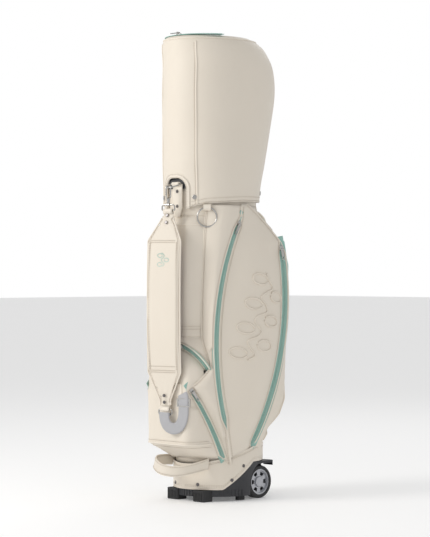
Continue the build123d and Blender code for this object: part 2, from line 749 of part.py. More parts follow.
def make_anchor_rivets():
    rivets = []
    for drop in (20, 60):
        head = Pos(0, 0, TAB_THICK + 0.9) * Cylinder(4.6, 1.8)
        head = fillet(head.edges().sort_by(Axis.Z)[-1], 1.2)
        shank = Pos(0, 0, TAB_THICK / 2) * Cylinder(2.0, TAB_THICK)
        rivets.append(Pos(ANCHOR_X, -TAB_BACK, ANCHOR_Z - drop) * Rot(90, 0, 0) * (head + shank))
    return Compound(children=rivets)


def make_d_ring():
    ring = closed_loop(2 * D_RING_HALF, D_RING_REACH, D_RING_HALF - 0.1, 5.0, RING_WIRE)
    return anchor_frame() * Rot(180 + D_TILT, 0, 0) * ring


def hang_point():
    """Middle of the D-ring's bow, from which the strap hangs."""
    bow = Vector(0, D_RING_REACH, 0).rotate(Axis.X, 180 + D_TILT)
    return Vector(ANCHOR_X, D_BAR_Y, ANCHOR_Z) + bow


HOOK_WIRE = 3.6
HOOK_WIDTH = 16.0
HOOK_HEIGHT = 34.0
GATE_LOW = 7.0
GATE_HIGH = 23.0
BARREL_LENGTH = 12.0
BARREL_RADIUS = 4.4
EYE_THICK = 2.4
OVAL_HEIGHT = 16.0


def hook_frame():
    """The hook stands in the plane across the D-ring's bow, with its loop upward from here."""
    top = hang_point() + Vector(0, 0, RING_WIRE / 2 + HOOK_WIRE / 2 + GAP)
    return Plane(origin=top - Vector(0, 0, HOOK_HEIGHT), x_dir=(0, 1, 0), z_dir=(1, 0, 0))


def make_snap_hook():
    loop = closed_loop(HOOK_WIDTH, HOOK_HEIGHT, HOOK_WIDTH / 2 - 0.1, HOOK_WIDTH / 2 - 0.1, HOOK_WIRE)
    loop -= Pos(-HOOK_WIDTH / 2, (GATE_LOW + GATE_HIGH) / 2, 0) * Box(8, GATE_HIGH - GATE_LOW, 10)
    barrel = Pos(0, -BARREL_LENGTH / 2 - 0.6, 0) * Rot(90, 0, 0) * Cylinder(BARREL_RADIUS, BARREL_LENGTH)
    collar = Pos(0, -1.6, 0) * Rot(90, 0, 0) * Cylinder(5.4, 2.0)
    return hook_frame().location * (loop + barrel + collar) + oval_eye()


def oval_frame():
    """Plane of the oval ring, turned with the strap. Its top bar is at the origin."""
    eye_reach = RING_WIRE / 2 + GAP + EYE_THICK - 1.0
    top = hook_frame().origin - Vector(0, 0, 0.6 + BARREL_LENGTH + eye_reach)
    across = Vector(1, 0, 0).rotate(Axis.Z, STRAP_TURN)
    return Plane(origin=top, x_dir=across, z_dir=Vector(0, -1, 0).rotate(Axis.Z, STRAP_TURN))


def oval_eye():
    """Eye under the hook's barrel, round the top of the oval ring."""
    return oval_frame().location * loop_tube(RING_WIRE / 2 + GAP, EYE_THICK, 8.0)


def gate_pivot_height():
    return GATE_LOW + GAP + HOOK_WIRE / 2


def make_gate():
    """Sprung gate: a bar with a ball at its lower end, which is its pivot."""
    pivot = gate_pivot_height()
    length = GATE_HIGH - GAP - pivot
    bar = Pos(-HOOK_WIDTH / 2, pivot + length / 2, 0) * Rot(90, 0, 0) * Cylinder(HOOK_WIRE / 2, length)
    ball = Pos(-HOOK_WIDTH / 2, pivot, 0) * Sphere(HOOK_WIRE / 2)
    return hook_frame().location * (bar + ball)


def make_oval_ring():
    ring = closed_loop(40, OVAL_HEIGHT, OVAL_HEIGHT / 2 - 0.1, 4.5, RING_WIRE)
    return oval_frame().location * Pos(0, -OVAL_HEIGHT, 0) * ring


def strap_frame():
    """Strap's own directions: X across it, Y up, Z out from the bag, from under the oval ring."""
    frame = oval_frame()
    return Plane(origin=(frame.origin.X, frame.origin.Y, 0), x_dir=frame.x_dir, z_dir=frame.z_dir)


def ring_bar_height():
    return oval_frame().origin.Z - OVAL_HEIGHT


BUCKLE_RING_WIDTH = 42.0
BUCKLE_RING_HEIGHT = 13.0


def strap_spine():
    """The pad's middle line, as distances out from the hanging line and heights."""
    top = ring_bar_height() - 6.0
    return [(0, top), (6, top - 25), (STRAP_STAND, STRAP_SHOULDER), (STRAP_STAND + 4, 520),
            (STRAP_STAND, STRAP_WAIST), (STRAP_STAND - 6, STRAP_LOW + 4)]


def spine_at(height):
    """How far the pad's middle line stands out at a height, and its slope there."""
    for (out_a, high), (out_b, low) in zip(strap_spine(), strap_spine()[1:]):
        if low <= height <= high:
            slope = (out_b - out_a) / (low - high)
            return out_a + slope * (height - high), slope


def make_strap_pad():
    frame = strap_frame()
    top = strap_spine()[0][1]
    half = STRAP_THICK / 2
    outer = [(out + half, height) for out, height in strap_spine()]
    inner = [(out - half, height) for out, height in reversed(strap_spine())]
    profile = make_face(Polyline(*(outer + inner), close=True))
    side = Plane(origin=(0, 0, 0), x_dir=(0, 0, 1), z_dir=(-1, 0, 0)) * profile
    body = extrude(side, amount=STRAP_WIDTH, both=True)
    end_half = STRAP_END_WIDTH / 2
    full = STRAP_WIDTH / 2
    shape = [(-end_half, top + 1), (end_half, top + 1), (end_half, top - 16), (full, STRAP_SHOULDER),
             (full, STRAP_WAIST), (end_half - 3, STRAP_LOW + 26), (end_half - 3, STRAP_LOW - 10),
             (3 - end_half, STRAP_LOW - 10), (3 - end_half, STRAP_LOW + 26), (-full, STRAP_WAIST),
             (-full, STRAP_SHOULDER), (-end_half, top - 16)]
    pad = body & extrude(make_face(Polyline(*shape, close=True)), amount=100, both=True)
    inner_radius = RING_WIRE / 2 + GAP
    top_loop = Pos(0, ring_bar_height(), 0) * loop_tube(inner_radius, 3.2, 2 * end_half - 10)
    pad += top_loop
    pad += Pos(0, ring_bar_height() - 5.0, 0) * Box(2 * end_half - 8, 5.0, STRAP_THICK - 2)
    low_out = strap_spine()[-1][0]
    low_bar = Pos(0, STRAP_LOW, low_out)
    pad += low_bar * loop_tube(inner_radius, 3.4, 2 * end_half - 10)
    for height, out in ((ring_bar_height(), 0), (STRAP_LOW, low_out)):
        pad -= Pos(0, height, out) * Rot(0, 90, 0) * Cylinder(inner_radius, 2 * STRAP_WIDTH)
    return frame.location * pad


def make_strap_rivets():
    """Two rivets at the strap's top and two at its lower end."""
    frame = strap_frame()
    top = ring_bar_height()
    rivets = []
    for height in (top - 14, top - 33, STRAP_LOW + 38, STRAP_LOW + 20):
        out, slope = spine_at(height)
        cap = Pos(0, 0, STRAP_THICK / 2 + 1.3) * Cylinder(4.4, 1.8)
        cap = fillet(cap.edges().sort_by(Axis.Z)[-1], 1.0)
        tilt = degrees(atan(slope))
        rivets.append(frame.location * Pos(0, height, out) * Rot(tilt, 0, 0) * cap)
    return Compound(children=rivets)


def make_strap_bar():
    """Rectangular wire ring between the strap's lower end and the webbing."""
    ring = closed_loop(BUCKLE_RING_WIDTH, BUCKLE_RING_HEIGHT, 4.0, 4.0, RING_WIRE)
    low_out = strap_spine()[-1][0]
    return strap_frame().location * Pos(0, STRAP_LOW - BUCKLE_RING_HEIGHT, low_out) * ring


WEBBING_REACH = 58.0
WEBBING_BOTTOM = 198.0
GLIDE_HEIGHT = 272.0
WEBBING_TAB_X = 46.0
WEBBING_TAB_Z = 305.0
WEBBING_TAB_WIDTH = 30.0
WEBBING_TAB_HEIGHT = 34.0


def make_webbing():
    """Flat webbing that hangs in a U from the strap's lower ring to the slide."""
    low_out = strap_spine()[-1][0]
    bar_z = STRAP_LOW - BUCKLE_RING_HEIGHT
    inner_radius = RING_WIRE / 2 + GAP
    loop = Pos(0, bar_z, low_out) * loop_tube(inner_radius, WEBBING_THICK, WEBBING_WIDTH - 6)
    arm = WEBBING_WIDTH / 2 - 4
    bend = WEBBING_BOTTOM + arm + 18
    left = box_between((-arm, bend, -1.2), (arm, bar_z - inner_radius - 0.4, 1.2))
    right = box_between((WEBBING_REACH - arm, bend, -1.2), (WEBBING_REACH + arm, GLIDE_HEIGHT - 12, 1.2))
    middle = WEBBING_REACH / 2
    ring = Cylinder(middle + arm, WEBBING_THICK) - Cylinder(middle - arm, WEBBING_THICK + 2)
    turn = Pos(middle, bend, 0) * ring
    turn &= Pos(middle, bend - 100, 0) * Box(400, 200, 40)
    flat = Pos(0, 0, low_out) * (left + right + turn)
    webbing = flat + loop
    webbing -= Pos(0, bar_z, low_out) * Rot(0, 90, 0) * Cylinder(inner_radius, 100)
    return strap_frame().location * largest(webbing)


def make_tri_glide():
    """Three-bar slide on the webbing."""
    low_out = strap_spine()[-1][0]
    frame = Box(42, 23, 3.6)
    frame = fillet(frame.edges().filter_by(Axis.Z), 3.0)
    for y in (-5.2, 5.2):
        frame -= Pos(0, y, 0) * Box(33, 5.4, 6)
    return strap_frame().location * Pos(WEBBING_REACH, GLIDE_HEIGHT, low_out) * frame


def make_webbing_anchor(pocket):
    """Leather tab on the ball pocket's front, where the end of the webbing is sewn."""
    plate = Pos(WEBBING_TAB_X, BALL_POCKET_FRONT + 1.5, WEBBING_TAB_Z) * Box(WEBBING_TAB_WIDTH, 5.0, WEBBING_TAB_HEIGHT)
    return largest(fillet(plate.edges().filter_by(Axis.Y), 3.0) - pocket)


def half_band(half, reach, thick, height):
    """Leather band bent to half an oval in plan, open towards +Y."""
    outer = Ellipse(half, reach)
    inner = Ellipse(half - thick, reach - thick)
    ring = extrude(outer, amount=height / 2, both=True) - extrude(inner, amount=height, both=True)
    return ring & (Pos(0, -reach, 0) * Box(4 * half, 2 * reach, 4 * height))


def make_grab_handle():
    band = half_band(GRAB_HALF, GRAB_REACH, GRAB_THICK, GRAB_BAND)
    band = Pos(0, GRAB_PIVOT_Y, GRAB_PIVOT_Z) * band
    return largest(band - base_outline(BOOT_WALL + GAP + GRAB_ROOM, 0, 300))


def make_rear_handle():
    """Leather band that stands off the back of the cuff."""
    top_y = tube_oval(REAR_HANDLE_TOP)[0] + tube_oval(REAR_HANDLE_TOP)[2]
    low_y = tube_oval(REAR_HANDLE_LOW)[0] + tube_oval(REAR_HANDLE_LOW)[2]
    out_y = top_y + REAR_HANDLE_STAND
    thick = REAR_HANDLE_THICK
    flat = 1.2
    points = [(top_y + flat, REAR_HANDLE_TOP), (top_y + flat, REAR_HANDLE_TOP - 24),
              (out_y - 22, REAR_HANDLE_TOP - 36), (out_y, REAR_HANDLE_TOP - 68),
              (out_y, REAR_HANDLE_TOP - 140), (low_y + flat + 6, REAR_HANDLE_LOW + 32),
              (low_y + flat, REAR_HANDLE_LOW)]
    outer = [(y + thick, z + (thick if 0 < index < 3 else 0)) for index, (y, z) in enumerate(points)]
    return largest(side_cut(points + outer[::-1], REAR_HANDLE_WIDTH / 2) - tube_solid(GAP, 0, 1000))


# ---------------------------------------------------------------- hood
# Height, centre in Y, half axis across and half axis front to back.
HOOD_SECTIONS = [(770, 1, 123.5, 136.5), (850, 4, 124.5, 140), (920, 11, 126, 151), (1010, 21, 128, 162),
                 (1110, 30, 130, 173), (1180, 28, 129.5, 168.5), (1222, 14, 124, 158), (1246, 0, 115, 145),
                 (1258, -10, 103, 126), (HOOD_TOP, -14, 80, 98)]


def hood_solid(shrink):
    faces = [oval_face(z, y, a - shrink, b - shrink) for z, y, a, b in HOOD_SECTIONS[:-1]]
    z, y, a, b = HOOD_SECTIONS[-1]
    faces.append(oval_face(z - shrink, y, a - shrink, b - shrink))
    return loft(faces, ruled=True)


def hood_surface(x, z, rear):
    """Plane on the hood's outside, facing out, at a place across and up."""
    for low, high in zip(HOOD_SECTIONS, HOOD_SECTIONS[1:]):
        if low[0] <= z <= high[0]:
            share = (z - low[0]) / (high[0] - low[0])
            centre_y, half_x, half_y = [blend(a, b, share) for a, b in zip(low[1:], high[1:])]
    y = centre_y + (1 if rear else -1) * half_y * sqrt(1 - (x / half_x) ** 2)
    out = Vector(x / half_x ** 2, (y - centre_y) / half_y ** 2, 0).normalized()
    return Plane(origin=(x, y, z), z_dir=out)


def snap_frames():
    spots = [(60, 822, False), (-60, 822, False), (72, 838, True), (-72, 838, True)]
    return [hood_surface(x, z, rear) for x, z, rear in spots]


SNAP_RADIUS = 6.5
SNAP_SHANK = 3.0


def make_hood():
    hood = hood_solid(0) - hood_solid(HOOD_WALL)
    under = [(-300, 700), (300, 700), (300, HOOD_HEM_REAR), (0, HOOD_HEM_REAR - 1), (-98, HOOD_HEM_REAR - 7),
             (-137, HOOD_HEM_FRONT), (-300, HOOD_HEM_FRONT)]
    hood -= side_cut(under, 300)
    notch = Pos(0, -160, HOOD_NOTCH_TOP - 100) * Rot(90, 0, 0) * extrude(
        RectangleRounded(2 * HOOD_NOTCH_HALF, 200, 28), amount=60, both=True)
    hood -= notch & Pos(0, -140, 800) * Box(200, 80, 400)
    for frame in snap_frames():
        hood -= frame.location * Cylinder(SNAP_SHANK + GAP, 12)
    hood -= zip_room(HOOD_ZIP, deep=2)
    return largest(hood)


def make_hood_snaps():
    snaps = []
    for frame in snap_frames():
        head = Pos(0, 0, 0.4 + 1.1) * Cylinder(SNAP_RADIUS, 2.2)
        head = fillet(head.edges().sort_by(Axis.Z)[-1], 1.4)
        shank = Pos(0, 0, -1.3) * Cylinder(SNAP_SHANK, 3.6)
        snaps.append(frame.location * (head + shank))
    return Compound(children=snaps)


def make_hood_studs():
    """Studs on the cuff, behind the hood's snaps and a little lower than them."""
    studs = []
    for x in (-60, 60):
        frame = outward_frame(x, 822, GAP + 0.6)
        studs.append(frame.location * Cylinder(4.0, 1.2))
    return Compound(children=studs)


# ---------------------------------------------------------------- all the parts
def slider_tracks():
    """Name, track and mirrored flag of every zip slider."""
    rows = []
    for name, track in (("side_front", SIDE_FRONT_ZIP), ("side_rear", SIDE_REAR_ZIP), ("slant", SLANT_ZIP)):
        rows.append((name + "_left", track, False, SLIDER_PLACES[name]))
        rows.append((name + "_right", track, True, SLIDER_PLACES[name]))
    rows.append(("arch", ARCH_ZIP, False, SLIDER_PLACES["arch"]))
    rows.append(("hood", HOOD_ZIP, False, SLIDER_PLACES["hood"]))
    return rows


def make_all():
    """Every node of the bag by name."""
    ball_pocket = make_ball_pocket()
    parts = {
        "base_tray": make_base_tray(),
        "base_boot": make_boot(),
        "base_screws": make_base_screws(),
        "front_feet": make_feet(),
        "heel_feet": make_heels(),
        "wheel_axle": make_axle(),
        "body_tube": make_tube(),
        "top_collar": make_collar(),
        "divider_lengthwise": make_divider_lengthwise(),
        "divider_cross": make_divider_cross(),
        "stay_rods": make_stays(),
        "ball_pocket": ball_pocket,
        "accessory_pocket": make_accessory_pocket(),
        "mesh_pockets": make_mesh_pockets(),
        "zip_tapes": make_zip_set(tape_of),
        "zip_coils": make_zip_set(coil_of),
        "strap_anchor_tab": make_anchor_tab(),
        "anchor_rivets": make_anchor_rivets(),
        "towel_ring_tab": make_ring_tab(),
        "webbing_anchor": make_webbing_anchor(ball_pocket),
        "rear_handle": make_rear_handle(),
        "hood_studs": make_hood_studs(),
        "grab_handle": make_grab_handle(),
        "towel_ring": make_towel_ring(),
        "d_ring": make_d_ring(),
        "snap_hook": make_snap_hook(),
        "snap_gate": make_gate(),
        "oval_ring": make_oval_ring(),
        "strap_pad": make_strap_pad(),
        "strap_rivets": make_strap_rivets(),
        "strap_bar": make_strap_bar(),
        "strap_webbing": make_webbing(),
        "tri_glide": make_tri_glide(),
        "hood_shell": make_hood(),
        "hood_snaps": make_hood_snaps(),
        "hood_zip": Compound(children=[tape_of(HOOD_ZIP), coil_of(HOOD_ZIP)]),
    }
    pocket, panel = make_side_pocket(), make_side_panel()
    for side, name in ((1, "left"), (-1, "right")):
        parts["wheel_tyre_" + name] = make_tyre(side)
        parts["wheel_hub_" + name] = make_hub(side)
        parts["side_pocket_" + name] = pocket if side == 1 else mirror(pocket, Plane.YZ)
        parts["side_panel_" + name] = panel if side == 1 else mirror(panel, Plane.YZ)
    for name, track, mirrored, place in slider_tracks():
        frame = track.frame(place)
        for piece, solid in (("slider_", make_slider(frame)), ("pull_", make_pull(frame))):
            parts[piece + name] = mirror(solid, Plane.YZ) if mirrored else solid
    return parts


def write_parts(parts):
    os.makedirs("parts", exist_ok=True)
    for name, solid in parts.items():
        export_step(solid, f"parts/{name}.step")


write_parts(make_all())
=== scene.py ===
import math
import bmesh
import bpy
import numpy as np
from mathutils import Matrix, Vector


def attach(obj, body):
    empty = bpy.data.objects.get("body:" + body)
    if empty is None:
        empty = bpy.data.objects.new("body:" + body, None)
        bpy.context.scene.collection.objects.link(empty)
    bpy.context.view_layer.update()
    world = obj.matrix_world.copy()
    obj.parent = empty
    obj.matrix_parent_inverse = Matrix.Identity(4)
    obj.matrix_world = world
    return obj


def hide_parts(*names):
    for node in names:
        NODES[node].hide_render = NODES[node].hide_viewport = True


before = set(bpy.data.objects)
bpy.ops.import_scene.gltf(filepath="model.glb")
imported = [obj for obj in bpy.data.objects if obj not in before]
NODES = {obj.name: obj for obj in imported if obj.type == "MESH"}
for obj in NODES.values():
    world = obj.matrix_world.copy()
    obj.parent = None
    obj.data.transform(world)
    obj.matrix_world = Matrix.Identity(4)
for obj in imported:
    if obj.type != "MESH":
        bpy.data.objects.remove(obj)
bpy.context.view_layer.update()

# Wheeled golf staff bag: everything is in metres, +Z up, -Y to the front, +X to the bag's left side.
MM = 0.001


# ---------------------------------------------------------------- camera, lights and floor
VIEW_AZIMUTH = math.radians(46.0)
VIEW_DISTANCE = 5.5
VIEW_HEIGHT = 0.63
VIEW_RIGHT = 0.011
VIEW_LENS = 134.1
KEY_POWER = 50.0
ROOM_LIGHT = 0.64
FLOOR_GLOW = 0.16


def add_camera():
    right = Vector((math.cos(VIEW_AZIMUTH), math.sin(VIEW_AZIMUTH), 0))
    toward = Vector((math.sin(VIEW_AZIMUTH), -math.cos(VIEW_AZIMUTH), 0))
    camera = bpy.data.objects.new("camera", bpy.data.cameras.new("camera"))
    camera.data.lens = VIEW_LENS
    camera.location = toward * VIEW_DISTANCE + right * VIEW_RIGHT + Vector((0, 0, VIEW_HEIGHT))
    camera.rotation_euler = (math.pi / 2, 0, VIEW_AZIMUTH)
    bpy.context.scene.collection.objects.link(camera)
    bpy.context.scene.camera = camera


def add_light(name, azimuth, elevation, distance, size, power, colour):
    """Area light at a bearing round the bag, aimed at its middle."""
    a, e = math.radians(azimuth), math.radians(elevation)
    spot = Vector((math.sin(a) * math.cos(e), -math.cos(a) * math.cos(e), math.sin(e))) * distance
    light = bpy.data.lights.new(name, "AREA")
    light.shape = "DISK"
    light.size = size
    light.energy = power
    light.color = colour
    lamp = bpy.data.objects.new(name, light)
    lamp.location = spot + Vector((0, 0, 0.65))
    lamp.rotation_euler = (-spot).to_track_quat("-Z", "Y").to_euler()
    bpy.context.scene.collection.objects.link(lamp)


def add_studio():
    add_light("key", -22, 24, 3.4, 1.5, KEY_POWER, (1.0, 0.98, 0.95))
    add_light("fill", 75, 20, 4.0, 2.4, 4.0, (0.95, 0.97, 1.0))
    add_light("rim", 200, 35, 3.6, 1.6, 10.0, (1.0, 1.0, 1.0))
    world = bpy.data.worlds.new("studio")
    bpy.context.scene.world = world
    world.use_nodes = True
    tree = world.node_tree
    shine = tree.nodes["Background"]
    shine.inputs["Color"].default_value = (1.0, 1.0, 1.0, 1.0)
    shine.inputs["Strength"].default_value = ROOM_LIGHT
    seen = tree.nodes.new("ShaderNodeBackground")
    seen.inputs["Color"].default_value = (1.0, 1.0, 1.0, 1.0)
    mix = tree.nodes.new("ShaderNodeMixShader")
    tree.links.new(tree.nodes.new("ShaderNodeLightPath").outputs["Is Camera Ray"], mix.inputs[0])
    tree.links.new(shine.outputs[0], mix.inputs[1])
    tree.links.new(seen.outputs[0], mix.inputs[2])
    tree.links.new(mix.outputs[0], tree.nodes["World Output"].inputs["Surface"])
    bpy.context.scene.view_settings.view_transform = "Standard"
    bpy.ops.mesh.primitive_plane_add(size=60.0)
    floor = bpy.context.object
    floor.name = "floor"
    shade = bpy.data.materials.new("floor")
    shade.use_nodes = True
    shade.node_tree.nodes["Principled BSDF"].inputs["Base Color"].default_value = (0.92, 0.92, 0.92, 1)
    shade.node_tree.nodes["Principled BSDF"].inputs["Roughness"].default_value = 0.6
    shade.node_tree.nodes["Principled BSDF"].inputs["Emission Color"].default_value = (1, 1, 1, 1)
    shade.node_tree.nodes["Principled BSDF"].inputs["Emission Strength"].default_value = FLOOR_GLOW
    floor.data.materials.append(shade)


add_camera()
add_studio()


# ---------------------------------------------------------------- node groups shared by the materials
def new_group(name, inputs, outputs):
    """Empty shader group with named sockets: (name, kind, default) in, (name, kind) out."""
    group = bpy.data.node_groups.new(name, "ShaderNodeTree")
    for label, kind, default in inputs:
        socket = group.interface.new_socket(name=label, in_out="INPUT", socket_type=kind)
        socket.default_value = default
    for label, kind in outputs:
        group.interface.new_socket(name=label, in_out="OUTPUT", socket_type=kind)
    return group, group.nodes.new("NodeGroupInput"), group.nodes.new("NodeGroupOutput")


def wire(tree, start, end):
    tree.links.new(start, end)


def add_node(tree, kind, settings=None, **values):
    node = tree.nodes.new(kind)
    for name, value in (settings or {}).items():
        setattr(node, name, value)
    for name, value in values.items():
        node.inputs[name.replace("_", " ")].default_value = value
    return node


def math_node(tree, operation, first, second=None, clamp=False):
    node = tree.nodes.new("ShaderNodeMath")
    node.operation = operation
    node.use_clamp = clamp
    for index, value in enumerate((first, second)):
        if value is None:
            continue
        if isinstance(value, (int, float)):
            node.inputs[index].default_value = value
        else:
            wire(tree, value, node.inputs[index])
    return node.outputs[0]


def object_point(tree):
    return tree.nodes.new("ShaderNodeTexCoord").outputs["Object"]


def build_tint_group():
    """Colour that drifts softly over the surface between two tones at random."""
    group, entry, out = new_group("soft_tint", [
        ("Colour", "NodeSocketColor", (0.8, 0.8, 0.8, 1)), ("Shade", "NodeSocketColor", (0.6, 0.6, 0.6, 1)),
        ("Amount", "NodeSocketFloat", 0.3), ("Scale", "NodeSocketFloat", 6.0)],
                                  [("Colour", "NodeSocketColor")])
    noise = add_node(group, "ShaderNodeTexNoise", Detail=5.0, Roughness=0.6)
    wire(group, object_point(group), noise.inputs["Vector"])
    wire(group, entry.outputs["Scale"], noise.inputs["Scale"])
    spread = math_node(group, "SUBTRACT", noise.outputs["Fac"], 0.35)
    share = math_node(group, "MULTIPLY", math_node(group, "MULTIPLY", spread, 2.2, clamp=True),
                      entry.outputs["Amount"], clamp=True)
    mix = add_node(group, "ShaderNodeMix", {"data_type": "RGBA"})
    wire(group, share, mix.inputs["Factor"])
    wire(group, entry.outputs["Colour"], mix.inputs["A"])
    wire(group, entry.outputs["Shade"], mix.inputs["B"])
    wire(group, mix.outputs["Result"], out.inputs["Colour"])
    return group


def build_grain_group():
    """Height of fine leather grain: small rounded cells over a soft unevenness, and painted shade for the
    hollows between the cells.
    """
    group, entry, out = new_group("leather_grain", [
        ("Cell", "NodeSocketFloat", 900.0), ("Depth", "NodeSocketFloat", 1.0)],
        [("Height", "NodeSocketFloat"), ("Hollow_Shade", "NodeSocketFloat")])
    point = object_point(group)
    warp = add_node(group, "ShaderNodeTexNoise", Scale=220.0, Detail=2.0)
    wire(group, point, warp.inputs["Vector"])
    bent = add_node(group, "ShaderNodeVectorMath", {"operation": "SCALE"}, Scale=0.0016)
    wire(group, warp.outputs["Color"], bent.inputs[0])
    moved = add_node(group, "ShaderNodeVectorMath", {"operation": "ADD"})
    wire(group, point, moved.inputs[0])
    wire(group, bent.outputs[0], moved.inputs[1])
    cells = add_node(group, "ShaderNodeTexVoronoi", {"feature": "DISTANCE_TO_EDGE"})
    wire(group, moved.outputs[0], cells.inputs["Vector"])
    wire(group, entry.outputs["Cell"], cells.inputs["Scale"])
    domes = math_node(group, "MULTIPLY", cells.outputs["Distance"], 3.0, clamp=True)
    broad = add_node(group, "ShaderNodeTexNoise", Scale=60.0, Detail=3.0)
    wire(group, point, broad.inputs["Vector"])
    height = math_node(group, "ADD", math_node(group, "MULTIPLY", domes, entry.outputs["Depth"]),
                       math_node(group, "MULTIPLY", broad.outputs["Fac"], 0.8))
    wire(group, height, out.inputs["Height"])
    wire(group, math_node(group, "SUBTRACT", 1.0, domes), out.inputs["Hollow_Shade"])
    return group


def build_weave_group():
    """Height of a plain weave that follows the object's own axes, and painted shade for its low parts."""
    group, entry, out = new_group("plain_weave", [
        ("Threads", "NodeSocketFloat", 1600.0), ("Rib", "NodeSocketFloat", 0.5)],
        [("Height", "NodeSocketFloat"), ("Shadow", "NodeSocketFloat")])
    split = group.nodes.new("ShaderNodeSeparateXYZ")
    wire(group, object_point(group), split.inputs[0])
    across = math_node(group, "ADD", split.outputs["X"],
                       math_node(group, "MULTIPLY", split.outputs["Y"], 0.83))
    warp = math_node(group, "SINE", math_node(group, "MULTIPLY", across, entry.outputs["Threads"]))
    weft = math_node(group, "SINE",
                     math_node(group, "MULTIPLY", split.outputs["Z"], entry.outputs["Threads"]))
    cross = math_node(group, "MULTIPLY", warp, weft)
    ribbed = math_node(group, "ADD", math_node(group, "MULTIPLY", warp, entry.outputs["Rib"]), cross)
    height = math_node(group, "ADD", math_node(group, "MULTIPLY", ribbed, 0.5), 0.5)
    wire(group, height, out.inputs["Height"])
    wire(group, math_node(group, "SUBTRACT", 1.0, height, clamp=True), out.inputs["Shadow"])
    return group


def build_wear_group():
    """Roughness that varies with handling marks and settled dust."""
    group, entry, out = new_group("handling_wear", [
        ("Base", "NodeSocketFloat", 0.5), ("Spread", "NodeSocketFloat", 0.1),
        ("Scale", "NodeSocketFloat", 14.0)],
        [("Roughness", "NodeSocketFloat"), ("Mask", "NodeSocketFloat")])
    noise = add_node(group, "ShaderNodeTexNoise", Detail=7.0, Roughness=0.65)
    wire(group, object_point(group), noise.inputs["Vector"])
    wire(group, entry.outputs["Scale"], noise.inputs["Scale"])
    centred = math_node(group, "SUBTRACT", noise.outputs["Fac"], 0.5)
    rough = math_node(group, "ADD", entry.outputs["Base"],
                      math_node(group, "MULTIPLY", math_node(group, "MULTIPLY", centred, 2.0),
                                entry.outputs["Spread"]),
                      clamp=True)
    wire(group, rough, out.inputs["Roughness"])
    wire(group, math_node(group, "MULTIPLY", centred, 3.0, clamp=True), out.inputs["Mask"])
    return group


TINT = build_tint_group()
GRAIN = build_grain_group()
WEAVE = build_weave_group()
WEAR = build_wear_group()


def place_group(tree, group, **values):
    node = tree.nodes.new("ShaderNodeGroup")
    node.node_tree = group
    for name, value in values.items():
        node.inputs[name].default_value = value
    return node


def start_material(name):
    material = bpy.data.materials.new(name)
    material.use_nodes = True
    tree = material.node_tree
    return material, tree, tree.nodes["Principled BSDF"]


def add_bump(tree, shader, height, strength, distance):
    bump = add_node(tree, "ShaderNodeBump", Strength=strength, Distance=distance)
    wire(tree, height, bump.inputs["Height"])
    wire(tree, bump.outputs["Normal"], shader.inputs["Normal"])


def colour4(rgb):
    return (rgb[0], rgb[1], rgb[2], 1.0)


def leather(name, colour, shade, rough=0.5, depth=1.0):
    """Fine-grained coated leather with a soft sheen."""
    material, tree, shader = start_material(name)
    tint = place_group(tree, TINT, Colour=colour4(colour), Shade=colour4(shade), Amount=0.35, Scale=5.0)
    grain = place_group(tree, GRAIN, Cell=850.0, Depth=depth)
    wear = place_group(tree, WEAR, Base=rough, Spread=0.09, Scale=22.0)
    # Painted shade: the hollows between the grain cells darken the tint towards 0.90, 0.87, 0.83.
    painted_shade_mix = add_node(tree, "ShaderNodeMix", {"data_type": "RGBA", "blend_type": "MULTIPLY"})
    wire(tree, tint.outputs["Colour"], painted_shade_mix.inputs["A"])
    painted_shade_mix.inputs["B"].default_value = (0.90, 0.87, 0.83, 1)
    wire(tree, math_node(tree, "MULTIPLY", grain.outputs["Hollow_Shade"], 0.35), painted_shade_mix.inputs["Factor"])
    wire(tree, painted_shade_mix.outputs["Result"], shader.inputs["Base Color"])
    wire(tree, wear.outputs["Roughness"], shader.inputs["Roughness"])
    shader.inputs["Sheen Weight"].default_value = 0.12
    shader.inputs["Coat Roughness"].default_value = 0.4
    add_bump(tree, shader, grain.outputs["Height"], 0.35, 0.00035)
    return material


def woven(name, colour, shade, threads, rib, rough=0.75, sheen=0.3):
    """Woven tape, webbing or lining."""
    material, tree, shader = start_material(name)
    weave = place_group(tree, WEAVE, Threads=threads, Rib=rib)
    tint = place_group(tree, TINT, Colour=colour4(colour), Shade=colour4(shade), Amount=0.3, Scale=18.0)
    # Painted shade: the low parts of the weave are mixed towards 0.62 of the colour.
    painted_shade_mix = add_node(tree, "ShaderNodeMix", {"data_type": "RGBA"})
    wire(tree, math_node(tree, "MULTIPLY", weave.outputs["Shadow"], 0.45), painted_shade_mix.inputs["Factor"])
    wire(tree, tint.outputs["Colour"], painted_shade_mix.inputs["A"])
    painted_shade_mix.inputs["B"].default_value = colour4([c * 0.62 for c in colour])
    wire(tree, painted_shade_mix.outputs["Result"], shader.inputs["Base Color"])
    wear = place_group(tree, WEAR, Base=rough, Spread=0.08, Scale=40.0)
    wire(tree, wear.outputs["Roughness"], shader.inputs["Roughness"])
    shader.inputs["Sheen Weight"].default_value = sheen
    add_bump(tree, shader, weave.outputs["Height"], 0.5, 0.0004)
    return material


def hard(name, colour, shade, rough, metallic=0.0, bump=0.12, scale=30.0):
    """Moulded plastic, rubber, paint or plated metal."""
    material, tree, shader = start_material(name)
    tint = place_group(tree, TINT, Colour=colour4(colour), Shade=colour4(shade), Amount=0.5, Scale=scale)
    wear = place_group(tree, WEAR, Base=rough, Spread=0.12, Scale=scale * 2)
    wire(tree, tint.outputs["Colour"], shader.inputs["Base Color"])
    wire(tree, wear.outputs["Roughness"], shader.inputs["Roughness"])
    shader.inputs["Metallic"].default_value = metallic
    fine = add_node(tree, "ShaderNodeTexNoise", Scale=900.0, Detail=3.0)
    wire(tree, object_point(tree), fine.inputs["Vector"])
    add_bump(tree, shader, fine.outputs["Fac"], bump, 0.0002)
    return material


